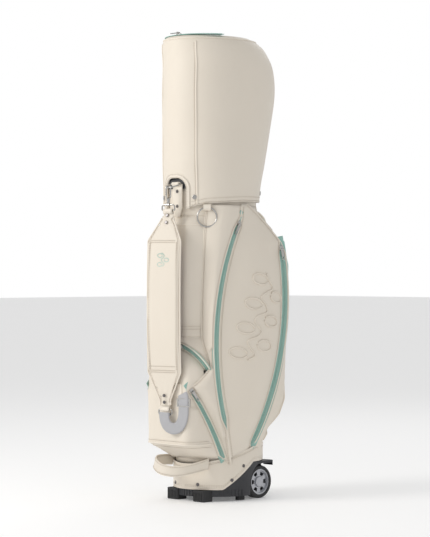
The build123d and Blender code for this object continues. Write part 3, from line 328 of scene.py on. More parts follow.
def netting(name, colour, shade, pitch):
    """Elastic mesh with small round holes that show what is behind."""
    material, tree, shader = start_material(name)
    cells = add_node(tree, "ShaderNodeTexVoronoi", Scale=pitch)
    wire(tree, object_point(tree), cells.inputs["Vector"])
    solid = math_node(tree, "GREATER_THAN", cells.outputs["Distance"], 0.34)
    tint = place_group(tree, TINT, Colour=colour4(colour), Shade=colour4(shade), Amount=0.4, Scale=20.0)
    wire(tree, tint.outputs["Colour"], shader.inputs["Base Color"])
    wire(tree, solid, shader.inputs["Alpha"])
    wear = place_group(tree, WEAR, Base=0.7, Spread=0.1, Scale=40.0)
    wire(tree, wear.outputs["Roughness"], shader.inputs["Roughness"])
    add_bump(tree, shader, cells.outputs["Distance"], 0.4, 0.0005)
    return material


CREAM = leather("cream_leather", (0.79, 0.725, 0.63), (0.73, 0.66, 0.565))
CREAM_TRIM = leather("cream_trim", (0.84, 0.775, 0.68), (0.78, 0.71, 0.61), rough=0.45, depth=0.6)
LINING = woven("grey_lining", (0.33, 0.31, 0.31), (0.26, 0.25, 0.25), 2600.0, 0.2)
TAPE = woven("teal_tape", (0.36, 0.60, 0.53), (0.30, 0.53, 0.47), 3800.0, 0.6, rough=0.7)
COIL = woven("teal_coil", (0.46, 0.71, 0.63), (0.38, 0.62, 0.55), 5200.0, 0.8, rough=0.55)
NET = netting("teal_net", (0.36, 0.60, 0.53), (0.30, 0.53, 0.47), 420.0)
WEBBING = woven("grey_webbing", (0.50, 0.50, 0.52), (0.43, 0.43, 0.45), 4200.0, 1.2, rough=0.6)
METAL = hard("plated_metal", (0.50, 0.49, 0.47), (0.36, 0.35, 0.34), 0.24, metallic=1.0, bump=0.04)
DARK_METAL = hard("dark_metal", (0.16, 0.15, 0.15), (0.10, 0.10, 0.10), 0.32, metallic=1.0, bump=0.04)
STEEL = hard("turned_steel", (0.45, 0.45, 0.47), (0.35, 0.35, 0.36), 0.3, metallic=1.0, bump=0.08)
BLACK = hard("black_plastic", (0.028, 0.029, 0.034), (0.018, 0.018, 0.021), 0.42, bump=0.3, scale=16.0)
RUBBER = hard("black_rubber", (0.022, 0.022, 0.024), (0.035, 0.034, 0.033), 0.68, bump=0.5, scale=24.0)
HUB = hard("silver_hub", (0.46, 0.47, 0.50), (0.38, 0.39, 0.41), 0.3, metallic=0.75, bump=0.05)
FIBRE = hard("stay_fibre", (0.10, 0.10, 0.10), (0.07, 0.07, 0.07), 0.5, bump=0.3)
THREAD = woven("cream_thread", (0.66, 0.58, 0.48), (0.58, 0.50, 0.41), 5000.0, 1.0, rough=0.8)
TEAL_THREAD = woven("teal_thread", (0.42, 0.68, 0.61), (0.34, 0.58, 0.52), 5000.0, 1.0, rough=0.6)

CAD_FINISH = {
    "base_tray": BLACK, "base_screws": DARK_METAL, "front_feet": RUBBER, "heel_feet": RUBBER,
    "wheel_axle": STEEL,
    "top_collar": BLACK, "divider_lengthwise": LINING, "divider_cross": LINING, "stay_rods": FIBRE,
    "zip_tapes": TAPE, "anchor_rivets": DARK_METAL, "hood_studs": METAL, "towel_ring": METAL, "d_ring": METAL,
    "snap_hook": METAL, "snap_gate": METAL, "oval_ring": METAL, "strap_rivets": DARK_METAL,
    "strap_bar": METAL,
    "tri_glide": METAL, "hood_snaps": METAL, "webbing_anchor": CREAM_TRIM, "towel_ring_tab": CREAM_TRIM,
    "strap_anchor_tab": CREAM_TRIM, "hood_zip": TAPE,
}


def finish_cad_nodes():
    """Gives every carried-over CAD node its material."""
    for name, node in NODES.items():
        material = CAD_FINISH.get(name)
        if name.startswith(("slider_", "pull_")):
            material = METAL
        elif name.startswith("wheel_tyre"):
            material = RUBBER
        elif name.startswith("wheel_hub"):
            material = HUB
        if material is None:
            material = CREAM
        for index in range(max(1, len(node.material_slots))):
            if node.material_slots:
                node.material_slots[index].material = material
            else:
                node.data.materials.append(material)


finish_cad_nodes()


# ---------------------------------------------------------------- mesh helpers, all in millimetres
def vec(*values):
    return np.array(values, dtype=float)


def unit(v):
    v = np.asarray(v, dtype=float)
    return v / np.linalg.norm(v, axis=-1, keepdims=True)


def smooth_line(points, count):
    """Catmull-Rom curve through rows of numbers, evenly spaced along its length."""
    rows = np.asarray(points, dtype=float)
    padded = np.vstack([2 * rows[0] - rows[1], rows, 2 * rows[-1] - rows[-2]])
    fine = []
    for i in range(1, len(padded) - 2):
        p0, p1, p2, p3 = padded[i - 1:i + 3]
        for t in np.linspace(0, 1, 16, endpoint=False):
            fine.append(0.5 * (2 * p1 + (p2 - p0) * t + (2 * p0 - 5 * p1 + 4 * p2 - p3) * t ** 2
                               + (3 * p1 - p0 - 3 * p2 + p3) * t ** 3))
    fine.append(rows[-1])
    fine = np.array(fine)
    steps = np.concatenate([[0], np.cumsum(np.linalg.norm(np.diff(fine, axis=0), axis=1))])
    places = np.linspace(0, steps[-1], count)
    return np.stack([np.interp(places, steps, fine[:, k]) for k in range(fine.shape[1])], axis=1)


def bezier(points, count):
    """Bezier curve of three or four points."""
    t = np.linspace(0, 1, count)[:, None]
    pts = [np.asarray(p, dtype=float) for p in points]
    while len(pts) > 1:
        pts = [a * (1 - t) + b * t for a, b in zip(pts, pts[1:])]
    return pts[0]


def finish_mesh(name, verts, faces, material, body="bag", replaces=(), smooth=True):
    """Mesh object from millimetre points, carried by a body and standing in for CAD nodes."""
    mesh = bpy.data.meshes.new(name)
    mesh.from_pydata([tuple(v * MM) for v in np.asarray(verts, dtype=float)], [], faces)
    mesh.validate()
    tidy = bmesh.new()
    tidy.from_mesh(mesh)
    bmesh.ops.remove_doubles(tidy, verts=tidy.verts, dist=1e-6)
    bmesh.ops.recalc_face_normals(tidy, faces=tidy.faces)
    tidy.to_mesh(mesh)
    tidy.free()
    for polygon in mesh.polygons:
        polygon.use_smooth = smooth
    mesh.materials.append(material)
    obj = bpy.data.objects.new(name, mesh)
    bpy.context.scene.collection.objects.link(obj)
    if body:
        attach(obj, body)
    if replaces:
        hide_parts(*replaces)
    return obj


def grid_faces(rows, columns, round_rows=False, round_columns=False, start=0):
    faces = []
    for i in range(rows if round_rows else rows - 1):
        for j in range(columns if round_columns else columns - 1):
            a, b = i, (i + 1) % rows
            c, d = j, (j + 1) % columns
            faces.append([start + a * columns + c, start + a * columns + d,
                          start + b * columns + d, start + b * columns + c])
    return faces


def grid_normals(grid, round_columns=False):
    """Unit normals of a grid of points."""
    along = np.gradient(grid, axis=0)
    if round_columns:
        across = np.roll(grid, -1, axis=1) - np.roll(grid, 1, axis=1)
    else:
        across = np.gradient(grid, axis=1)
    normal = np.cross(across, along)
    size = np.linalg.norm(normal, axis=2, keepdims=True)
    return normal / np.maximum(size, 1e-9)


def shell(name, grid, thick, material, body="bag", replaces=(), round_columns=False, away=None, relief=None):
    """Sheet with thickness: the grid is its outer face, and it goes in from there."""
    grid = np.asarray(grid, dtype=float)
    normal = grid_normals(grid, round_columns)
    if away is not None:
        flip = np.sum(normal * (grid - np.asarray(away)), axis=2).mean() < 0
        normal = -normal if flip else normal
    if relief is not None:
        grid = grid + normal * relief[..., None]
    inner = grid - normal * thick
    rows, columns = grid.shape[:2]
    verts = np.vstack([grid.reshape(-1, 3), inner.reshape(-1, 3)])
    faces = grid_faces(rows, columns, round_columns=round_columns)
    faces += [f[::-1] for f in grid_faces(rows, columns, round_columns=round_columns, start=rows * columns)]
    shift = rows * columns
    last = columns if round_columns else columns - 1
    for j in range(last):
        k = (j + 1) % columns
        faces.append([j, shift + j, shift + k, k])
        top = (rows - 1) * columns
        faces.append([top + j, top + k, shift + top + k, shift + top + j])
    if not round_columns:
        for i in range(rows - 1):
            a, b = i * columns, (i + 1) * columns
            faces.append([a, b, shift + b, shift + a])
            a, b = a + columns - 1, b + columns - 1
            faces.append([a, shift + a, shift + b, b])
    return finish_mesh(name, verts, faces, material, body, replaces)


def sweep_frames(points, closed):
    """Tangents and a pair of steady cross directions along a line."""
    points = np.asarray(points, dtype=float)
    if closed:
        tangent = unit(np.roll(points, -1, axis=0) - np.roll(points, 1, axis=0))
    else:
        tangent = unit(np.gradient(points, axis=0))
    side = np.cross(tangent[0], [0.31, 0.17, 0.93])
    sides = []
    for t in tangent:
        side = side - t * np.dot(side, t)
        side = side / np.linalg.norm(side)
        sides.append(side)
    return tangent, np.array(sides), np.cross(tangent, np.array(sides))


def cord_points(points, radius, sides=8, closed=False):
    _, side, other = sweep_frames(points, closed)
    turn = np.linspace(0, 2 * math.pi, sides, endpoint=False)
    ring = np.cos(turn)[None, :, None] * side[:, None] + np.sin(turn)[None, :, None] * other[:, None]
    verts = (np.asarray(points)[:, None] + ring * radius).reshape(-1, 3)
    count = len(points)
    faces = grid_faces(count, sides, round_rows=closed, round_columns=True)
    if not closed:
        faces.append(list(range(sides))[::-1])
        faces.append(list(range((count - 1) * sides, count * sides)))
    return verts, faces


class Pieces:
    """Collects many small solids of one kind into one mesh."""

    def __init__(self):
        self.verts = []
        self.faces = []
        self.count = 0

    def add(self, verts, faces):
        self.verts.append(np.asarray(verts, dtype=float))
        self.faces.extend([[i + self.count for i in face] for face in faces])
        self.count += len(verts)

    def add_cord(self, points, radius, sides=8, closed=False):
        self.add(*cord_points(points, radius, sides, closed))

    def add_capsule(self, start, end, radius, out):
        """One stitch: a short thread, thin at its two ends, that stands out of the surface."""
        start, end = np.asarray(start), np.asarray(end)
        line = [start - out * radius * 0.8, start * 0.85 + end * 0.15 + out * radius * 0.35,
                start * 0.5 + end * 0.5 + out * radius * 0.55,
                start * 0.15 + end * 0.85 + out * radius * 0.35,
                end - out * radius * 0.8]
        self.add(*cord_points(np.array(line), radius, 6))

    def finish(self, name, material, body="bag", replaces=(), smooth=True):
        return finish_mesh(name, np.vstack(self.verts), self.faces, material, body, replaces, smooth)


STITCH_LENGTH = 4.6
STITCH_GAP = 2.0
STITCH_RADIUS = 0.55


def add_stitches(pieces, line, normals):
    """Row of stitches along a line that lies on a surface."""
    line = np.asarray(line, dtype=float)
    normals = np.broadcast_to(np.asarray(normals, dtype=float), line.shape)
    steps = np.concatenate([[0], np.cumsum(np.linalg.norm(np.diff(line, axis=0), axis=1))])
    pitch = STITCH_LENGTH + STITCH_GAP
    for k in range(int((steps[-1] - STITCH_GAP) // pitch)):
        low, high = k * pitch + STITCH_GAP, k * pitch + pitch
        start, end = [np.array([np.interp(s, steps, line[:, c]) for c in range(3)]) for s in (low, high)]
        out = unit(np.array([np.interp((low + high) / 2, steps, normals[:, c]) for c in range(3)]))
        pieces.add_capsule(start + out * 0.15, end + out * 0.15, STITCH_RADIUS, out)


def mirrored(points):
    return np.asarray(points, dtype=float) * vec(-1, 1, 1)


def ripple(rows, columns, size, waves=3, seed=1):
    """Soft unevenness for a padded or hand-sewn surface."""
    rng = np.random.default_rng(seed)
    u, v = np.meshgrid(np.linspace(0, 1, columns), np.linspace(0, 1, rows))
    total = np.zeros((rows, columns))
    for _ in range(8):
        fu, fv = rng.uniform(0.5, waves * 1.5, 2)
        across = np.sin(2 * math.pi * (fu * u + rng.uniform()))
        total += across * np.sin(2 * math.pi * (fv * v + rng.uniform()))
    return total / 4.0 * size


# ---------------------------------------------------------------- the bag's own shapes
TUBE_LOW, TUBE_TOP = 103.0, 846.0
TUBE_LOW_OVAL = vec(26.0, 111.0, 121.0)
TUBE_TOP_OVAL = vec(0.0, 117.0, 129.0)
BASE_OVAL = vec(27.0, 114.0, 124.0)
HOOD_PROFILE = [(770, 1, 123.5, 136.5), (850, 4, 124.5, 140), (920, 11, 126, 151), (1010, 21, 128, 162),
                (1110, 30, 130, 173), (1180, 28, 129.5, 168.5), (1222, 14, 124, 158), (1246, 0, 115, 145),
                (1258, -10, 103, 126)]
HOOD_TOP = 1266.0
HOOD_NOTCH_TOP = 874.0
HOOD_NOTCH_HALF = 38.0
HOOD_NOTCH_CORNER = 28.0
PIPING_RADIUS = 1.8


def tube_oval(z):
    share = (z - TUBE_LOW) / (TUBE_TOP - TUBE_LOW)
    return TUBE_LOW_OVAL + (TUBE_TOP_OVAL - TUBE_LOW_OVAL) * share


def hood_oval(z):
    profile = np.array(HOOD_PROFILE)
    return vec(*[np.interp(z, profile[:, 0], profile[:, k]) for k in (1, 2, 3)])


def oval_point(oval, turn, z, grow=0.0):
    """Point at a turn round an upright oval: 0 is the bag's front, 90 its left side."""
    return vec((oval[1] + grow) * math.sin(turn), oval[0] - (oval[2] + grow) * math.cos(turn), z)


def oval_out(oval, turn):
    return unit(vec(math.sin(turn) / oval[1], -math.cos(turn) / oval[2], 0))


def turn_at_x(oval, x, rear=False):
    turn = math.asin(max(-1.0, min(1.0, x / oval[1])))
    return math.pi - turn if rear else turn


class Arc:
    """A zip's line: part of a circle, with the side that it faces."""

    def __init__(self, start, end, facing, bulge_to, bulge):
        a, c = vec(*start), vec(*end)
        chord = c - a
        face = vec(*facing)
        face = face - chord * (face @ chord) / (chord @ chord)
        side = unit(np.cross(face, chord))
        if side @ vec(*bulge_to) < 0:
            side = -side
        b = (a + c) / 2 + side * bulge
        turn_axis = unit(np.cross(b - a, c - a))
        self.out = turn_axis if turn_axis @ face > 0 else -turn_axis
        half = np.linalg.norm(chord) / 2
        self.radius = (half ** 2 + bulge ** 2) / (2 * bulge)
        self.centre = b - side * self.radius
        self.first = unit(a - self.centre)
        self.second = np.cross(turn_axis, self.first)
        self.sweep = math.atan2((c - self.centre) @ self.second,
                                (c - self.centre) @ self.first) % (2 * math.pi)

    def radial(self, share):
        turn = self.sweep * np.asarray(share, dtype=float)[..., None]
        return np.cos(turn) * self.first + np.sin(turn) * self.second

    def along(self, share):
        turn = self.sweep * np.asarray(share, dtype=float)[..., None]
        return np.cos(turn) * self.second - np.sin(turn) * self.first

    def at(self, share, side=0.0, lift=0.0):
        """Point beside the line (away from the circle's centre) and out from it."""
        return self.centre + self.radial(share) * (self.radius + side) + self.out * lift

    def share_at(self, z):
        shares = np.linspace(-0.2, 1.2, 400)
        heights = self.at(shares)[:, 2]
        order = np.argsort(heights)
        return float(np.interp(z, heights[order], shares[order]))


FRONT_ZIP = Arc((127, -10, 770), (116, -54, 197), (1, -0.1, 0), (0, -1, 0), 58.0)
REAR_ZIP = Arc((154, 114, 703), (114, 44, 152), (0.868, -0.496, 0), (0, 1, 0), 45.0)
ARCH_ZIP = Arc((100, -107, 360), (-100, -107, 360), (0, -0.852, -0.523), (0, 0, 1), 82.0)
SLANT_ZIP = Arc((78, -156, 312), (96, -50, 122), (0.95, -0.3, 0), (0, 1, 0), 7.0)
HOOD_ZIP = Arc((96, -50, 1261), (-96, -50, 1261), (0, 0, 1), (0, -1, 0), 70.0)
TAPE_HALF = 12.0
TAPE_LIFT = 0.7
COIL_LIFT = 1.9
LEATHER_EDGE = 9.5
LEATHER_LIFT = 1.6


# ---------------------------------------------------------------- zip teeth
def add_coil(pieces, arc, flip=False, share_low=0.0, share_high=1.0):
    """Two rows of interlocked coil teeth on the tape's middle line."""
    length = arc.radius * arc.sweep * (share_high - share_low)
    pitch = 2.0 if length < 300 else 2.6
    count = int(length / pitch)
    for k in range(count):
        share = share_low + (k + 0.5) / count * (share_high - share_low)
        side = 1 if k % 2 else -1
        radial, along = arc.radial(share), arc.along(share)
        spot = arc.at(share, lift=COIL_LIFT)
        line = [spot + radial * side * 2.9 - arc.out * 0.7, spot + radial * side * 2.2 + arc.out * 0.55,
                spot - radial * side * 0.9 + arc.out * 0.55 + along * 0.3]
        points = mirrored(line) if flip else np.array(line)
        pieces.add_cord(points, 0.78 * pitch / 2.0, 5)


TAPE_TAIL = 15.0


def add_tape_ends(number, arc, mirror):
    """Short tails of tape that run on under the leather past a zip's two ends."""
    tail = TAPE_TAIL / (arc.radius * arc.sweep)
    for end, (low, high) in enumerate(((-tail, 0.002), (0.998, 1 + tail))):
        shares = np.linspace(low, high, 6)
        tape = np.stack([arc.at(shares, side=s, lift=TAPE_LIFT - 0.2)
                         for s in np.linspace(-TAPE_HALF + 2, TAPE_HALF - 2, 5)], axis=1)
        for flip in (False, True)[:2 if mirror else 1]:
            shell(f"tape_tail_{number}_{end}_{'right' if flip else 'left'}",
                  mirrored(tape) if flip else tape, 1.2,
                  TAPE, away=(0, 0, 450))


def add_zip_teeth():
    teeth = Pieces()
    for arc in (FRONT_ZIP, REAR_ZIP, SLANT_ZIP):
        add_coil(teeth, arc)
        add_coil(teeth, arc, flip=True)
    add_coil(teeth, ARCH_ZIP)
    teeth.finish("zip_teeth", COIL, replaces=["zip_coils"])
    hood_teeth = Pieces()
    add_coil(hood_teeth, HOOD_ZIP)
    hood_teeth.finish("hood_zip_teeth", COIL, body="hood")
    for number, (arc, mirror) in enumerate([(FRONT_ZIP, True), (REAR_ZIP, True), (SLANT_ZIP, True),
                                            (ARCH_ZIP, False)]):
        add_tape_ends(number, arc, mirror)
    shares = np.linspace(0, 1, 60)
    tape = np.stack([HOOD_ZIP.at(shares, side=s, lift=TAPE_LIFT)
                     for s in np.linspace(-TAPE_HALF, TAPE_HALF, 7)],
                    axis=1)
    shell("hood_zip_tape", tape, 1.4, TAPE, body="hood", replaces=["hood_zip"], away=(0, 0, 0))


add_zip_teeth()


# ---------------------------------------------------------------- hood
def hood_hem(y):
    return float(np.interp(y, [-137, -98, 0, 150], [791, 805, 811, 812]))


HOOD_COLUMNS = 144
HOOD_SEAM_X = 66.0


def hood_point(turn, share, grow=0.0):
    """Point on the hood's outside: share 0 is at the hem and 1 at the top edge."""
    low_oval = hood_oval(795)
    hem = hood_hem(oval_point(low_oval, turn, 0)[1])
    top = HOOD_PROFILE[-1][0]
    z = hem + (top - hem) * share
    return oval_point(hood_oval(z), turn, z, grow)


def smooth_profile():
    """Replaces the hood's plain profile by a rounded one through the same sections."""
    rows = smooth_line([(z, y, a, b) for z, y, a, b in HOOD_PROFILE], 60)
    HOOD_PROFILE[:] = [tuple(row) for row in rows]


def hood_grid():
    turns = np.linspace(0, 2 * math.pi, HOOD_COLUMNS, endpoint=False)
    rows = []
    for share in np.concatenate([np.linspace(0, 0.8, 44), np.linspace(0.81, 1, 22)]):
        rows.append([hood_point(turn, share) for turn in turns])
    edge = hood_oval(HOOD_PROFILE[-1][0])
    for share in (0.12, 0.28, 0.45, 0.62, 0.78, 0.9, 0.985):
        z = HOOD_PROFILE[-1][0] + (HOOD_TOP - HOOD_PROFILE[-1][0]) * math.sin(share * math.pi / 2)
        scale = 1 - share
        centre = edge[0] - 4.0 * share
        rows.append([vec(edge[1] * scale * math.sin(t), centre - edge[2] * scale * math.cos(t), z)
                     for t in turns])
    return np.array(rows)


def cut_with(obj, cutter):
    """Takes a closed cutter mesh out of an object and removes the cutter."""
    cut = obj.modifiers.new("cut", "BOOLEAN")
    cut.operation = "DIFFERENCE"
    cut.solver = "EXACT"
    cut.object = cutter
    graph = bpy.context.evaluated_depsgraph_get()
    graph.update()
    result = bpy.data.meshes.new_from_object(obj.evaluated_get(graph))
    obj.modifiers.clear()
    obj.data = result
    bpy.data.objects.remove(cutter)


def notch_outline(grow, count=10):
    """Half-round-cornered notch in X and Z, from its lower right round to its lower left."""
    half, top, corner = HOOD_NOTCH_HALF + grow, HOOD_NOTCH_TOP + grow, HOOD_NOTCH_CORNER + grow
    points = [(half, 780.0), (half, 800.0), (half, 820.0)]
    for turn in np.linspace(0, math.pi / 2, count):
        points.append((half - corner + corner * math.cos(turn), top - corner + corner * math.sin(turn)))
    right = np.array(points)
    return np.vstack([right, right[::-1] * vec(-1, 1)])


def on_hood_front(x, z, grow=0.0):
    oval = hood_oval(z)
    turn = turn_at_x(oval, x)
    return oval_point(oval, turn, z, grow), oval_out(oval, turn)


NOTCH_HEM_Y = -134


def add_hood():
    smooth_profile()
    grid = hood_grid()
    drape = ripple(grid.shape[0], HOOD_COLUMNS, 1.0, waves=3, seed=4)
    fade = np.clip(np.linspace(0, 5, grid.shape[0]), 0, 1) * np.clip(np.linspace(3.5, 0, grid.shape[0]), 0, 1)
    blend_ends = np.ones(HOOD_COLUMNS)
    blend_ends[:6] = blend_ends[-6:][::-1] = np.linspace(0, 1, 6)
    hood = shell("hood_cloth", grid, 2.6, CREAM, body=None, round_columns=True, away=(0, 15, 1040),
                 relief=drape * fade[:, None] * blend_ends[None, :])
    outline = notch_outline(0.0)
    count = len(outline)
    verts = [(x, y, z) for y in (-230, -100) for x, z in outline]
    faces = [list(range(count))[::-1], list(range(count, 2 * count))]
    faces += [[i, (i + 1) % count, count + (i + 1) % count, count + i] for i in range(count)]
    cutter = finish_mesh("notch_cutter", verts, faces, CREAM, body=None)
    cut_with(hood, cutter)
    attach(hood, "hood")
    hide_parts("hood_shell")

    border = []
    for grow in np.linspace(0.0, 11.0, 5):
        border.append([on_hood_front(x, max(z, hood_hem(NOTCH_HEM_Y) - 1), 1.6)[0]
                       for x, z in notch_outline(grow, 12)])
    shell("hood_notch_border", np.array(border), 5.6, CREAM_TRIM, body="hood", away=(0, 0, 840))

    stitches, cords = Pieces(), Pieces()
    for grow in (2.2, 9.0):
        line = [on_hood_front(x, max(z, hood_hem(NOTCH_HEM_Y)), 1.8) for x, z in notch_outline(grow, 12)]
        add_stitches(stitches, [p for p, _ in line], [n for _, n in line])
    turns = np.linspace(0, 2 * math.pi, 361)
    for rise, lift in ((0.008, 0.3), (0.03, 0.3)):
        line, outs = [], []
        for turn in turns:
            point = hood_point(turn, rise, lift)
            if abs(point[0]) < HOOD_NOTCH_HALF + 12 and point[1] < 0:
                if len(line) > 2:
                    add_stitches(stitches, line, outs)
                line, outs = [], []
                continue
            line.append(point)
            outs.append(oval_out(hood_oval(point[2]), turn))
        if len(line) > 2:
            add_stitches(stitches, line, outs)
    for sign in (1, -1):
        for rear in (False, True):
            shares = np.linspace(0.0, 0.965, 90)
            seam, outs = [], []
            for share in shares:
                z = hood_point(0, share)[2]
                oval = hood_oval(z)
                turn = sign * turn_at_x(oval, HOOD_SEAM_X, rear)
                if z > hood_hem(oval_point(oval, turn, z)[1]) - 0.5:
                    seam.append(oval_point(oval, turn, z, 0.6))
                    outs.append(oval_out(oval, turn))
            cords.add_cord(np.array(seam), PIPING_RADIUS, 8)
            beside = unit(np.cross(np.array(outs), [0, 0, 1.0])) * 5.5
            add_stitches(stitches, np.array(seam) - np.array(outs) * 0.6 + beside * 1.0, outs)
    edge = [hood_point(turn, 0.985, 0.9) for turn in np.linspace(0, 2 * math.pi, 200, endpoint=False)]
    cords.add_cord(np.array(edge), PIPING_RADIUS, 8, closed=True)
    cords.finish("hood_piping", CREAM_TRIM, body="hood")
    stitches.finish("hood_stitching", THREAD, body="hood")


add_hood()


# ---------------------------------------------------------------- body tube and boot
BOOT_LIFT = 3.4
BOOT_TOP_LINE = ([-170, -101, 60, 190], [98, 98, 148, 148])
BOOT_LOW_LINE = ([-170, -45, 48, 190], [33, 33, 105, 105])


def boot_top(y):
    return float(np.interp(y, *BOOT_TOP_LINE))


def boot_low(y):
    return float(np.interp(y, *BOOT_LOW_LINE))


def add_body_tube():
    turns = np.linspace(0, 2 * math.pi, 96, endpoint=False)
    heights = np.linspace(TUBE_LOW, TUBE_TOP, 50)
    grid = np.array([[oval_point(tube_oval(z), turn, z) for turn in turns] for z in heights])
    shell("body_skin", grid, 4.0, CREAM, replaces=["body_tube"], round_columns=True, away=(0, 10, 470))
    cords, stitches = Pieces(), Pieces()
    for sign in (1, -1):
        line = [oval_point(tube_oval(z), math.pi - sign * 0.42, z, 0.6) for z in np.linspace(152, 842, 120)]
        cords.add_cord(line, PIPING_RADIUS)
        outs = [oval_out(tube_oval(p[2]), math.pi - sign * 0.42) for p in line]
        beside = unit(np.cross(np.array(outs), [0, 0, 1.0])) * 6.0
        add_stitches(stitches, np.array(line) - beside * sign - np.array(outs) * 0.5, outs)
    cords.finish("rear_seam_piping", CREAM_TRIM)
    stitches.finish("rear_seam_stitching", THREAD)


def add_boot():
    oval = BASE_OVAL
    turns = np.linspace(0, 2 * math.pi, 180, endpoint=False)
    top, low = [], []
    rows = []
    for share in np.linspace(0, 1, 14):
        row = []
        swell = BOOT_LIFT + 0.8 * math.sin(share * math.pi)
        for turn in turns:
            y = oval_point(oval, turn, 0)[1]
            z = boot_low(y) + (boot_top(y) - boot_low(y)) * share
            row.append(oval_point(oval, turn, z, swell))
        rows.append(row)
    shell("boot_leather", np.array(rows), 3.0, CREAM, replaces=["base_boot"], round_columns=True,
          away=(0, 27, 90))
    cords, stitches = Pieces(), Pieces()
    for turn in turns:
        y = oval_point(oval, turn, 0)[1]
        top.append(oval_point(oval, turn, boot_top(y) + 0.5, BOOT_LIFT + 0.2))
        low.append(oval_point(oval, turn, boot_low(y) + 0.5, BOOT_LIFT - 0.6))
    cords.add_cord(np.array(top), PIPING_RADIUS + 0.3, 8, closed=True)
    cords.add_cord(np.array(low), 1.6, 8, closed=True)
    cords.finish("boot_piping", CREAM_TRIM)
    outs = np.array([oval_out(oval, turn) for turn in turns])
    for line, step in ((top, -7.0), (low, 7.0), (low, 10.5)):
        add_stitches(stitches, np.array(line) + vec(0, 0, step) + outs * 0.7, outs)
    stitches.finish("boot_stitching", THREAD)


add_body_tube()
add_boot()


# ---------------------------------------------------------------- side pockets
PANEL_BULGE = [(118, 4.0), (154, 8.0), (230, 20.0), (340, 27.0), (450, 30.0), (560, 30.0), (640, 26.0),
               (703, 17.0),
               (745, 9.0), (782, 4.0), (806, 1.0)]
GUSSET_CORNER = [(118, 105, 76), (154, 110, 84), (198, 121, 106), (232, 132, 134), (272, 138, 147),
                 (340, 140, 150), (450, 146, 150), (560, 156, 148),
                 (640, 159, 142), (700, 152, 128), (745, 132, 92), (782, 124, 52), (806, 121, 20)]
PANEL_TOP = [(703, 154, 114), (745, 140, 80), (782, 129, 44), (804, 124, 16)]
FRONT_TOP = [(770, 127, -10), (804, 123.5, -4)]
FRONT_FOOT = [(110, 113, -34), (197, 116, -54)]
REAR_FOOT = [(120, 111, 40), (152, 114, 44)]
POCKET_EDGE = [(104, 101, -36), (312, 84, -149), (320, 88, -144), (338, 97, -127), (358, 101, -107),
               (385, 98, -106), (420, 86, -110), (444, 79, -111), (540, 79, -112), (690, 81, -106),
               (752, 79, -100), (804, 80, -95)]
PIPING_SPREAD = 5.5
SEAM_SHARE = 0.12
FRONT_LOW, FRONT_HIGH = 197.0, 770.0
REAR_LOW, REAR_HIGH = 152.0, 703.0
TAPE_COVER = 14.0
SLANT_LOW, SLANT_HIGH = 104.0, 316.0


def row_at(table, z):
    table = np.array(table, dtype=float)
    return vec(*[np.interp(z, table[:, 0], table[:, k]) for k in range(1, table.shape[1])])


def narrowing(z, low, high, reach=30.0):
    """Share of the leather's stand-off beside a zip: nearly closed past the zip's two ends."""
    inside = min((z - low) / reach, (high - z) / reach)
    return SEAM_SHARE + (1 - SEAM_SHARE) * min(1.0, max(0.0, inside))


def front_edge(z, side, lift=LEATHER_LIFT):
    """Point beside the front zip at a height: above and below the zip it follows the seam."""
    if z > FRONT_HIGH:
        x, y = row_at(FRONT_TOP, z)
        return vec(x + lift * 0.5, y - side, z)
    if z < FRONT_LOW:
        x, y = row_at(FRONT_FOOT, z)
        return vec(x + lift * 0.5, y - side, z)
    return FRONT_ZIP.at(FRONT_ZIP.share_at(z), side=side, lift=lift) * vec(1, 1, 0) + vec(0, 0, z)


def rear_edge(z, side, lift=LEATHER_LIFT):
    """Point beside the rear zip at a height: side is towards the back."""
    if z > REAR_HIGH:
        x, y = row_at(PANEL_TOP, z)
        return vec(x + lift * 0.5, y + side, z)
    if z < REAR_LOW:
        x, y = row_at(REAR_FOOT, z)
        return vec(x + lift * 0.5, y + side, z)
    return REAR_ZIP.at(REAR_ZIP.share_at(z), side=side, lift=lift) * vec(1, 1, 0) + vec(0, 0, z)


def front_gap(z):
    return LEATHER_EDGE * narrowing(z, FRONT_LOW, FRONT_HIGH)


def rear_gap(z):
    return LEATHER_EDGE * narrowing(z, REAR_LOW - 18, REAR_HIGH)


def panel_row(z, count):
    start, end = front_edge(z, -front_gap(z)), rear_edge(z, -rear_gap(z))
    bulge = float(np.interp(z, *np.array(PANEL_BULGE).T))
    run = end - start
    first = start + run * 0.30 + vec(bulge * 1.0, -0.1 * bulge, 0)
    second = start + run * 0.72 + vec(bulge * 1.25, -0.15 * bulge, 0)
    return bezier([start, first, second, end], count)


def panel_levels(count):
    return np.linspace(0.0, 1.0, count)


def panel_point_grid(rows, columns):
    """The leaf panel: its foot follows the boot's seam and its tip goes under the hood's hem."""
    grid = []
    for share in panel_levels(rows):
        row = []
        for j in range(columns):
            across = j / (columns - 1)
            foot = boot_top(-36 + 78 * across) + 1.0
            z = foot + (804.0 - foot) * share
            row.append(panel_row(z, columns)[j])
        grid.append(row)
    return np.array(grid)


def add_panel_sides(cords, stitches, grid, flip):
    """Piping and a row of stitches down both long edges of a panel."""
    normal = grid_normals(grid)
    if np.sum(normal[:, :, 0]) < 0:
        normal = -normal
    for column, inward in ((0, 1), (-1, -1)):
        line = grid[:, column]
        cords.add_cord(mirrored(line) if flip else line, PIPING_RADIUS)
        across = unit(grid[:, column + inward * 2] - line)
        row = line + across * PIPING_SPREAD + normal[:, column] * 0.9
        outs = normal[:, column]
        add_stitches(stitches, mirrored(row) if flip else row, mirrored(outs) if flip else outs)


# Which way along the slant zip's radius the bag's front lies.
SLANT_SIDE = 1.0 if SLANT_ZIP.radial(0.5)[1] < 0 else -1.0


def slant_edge(z, side):
    """Point beside the slant zip at a height: side is towards the front."""
    point = SLANT_ZIP.at(SLANT_ZIP.share_at(z), side=side * SLANT_SIDE, lift=LEATHER_LIFT)
    return vec(point[0], point[1], z)


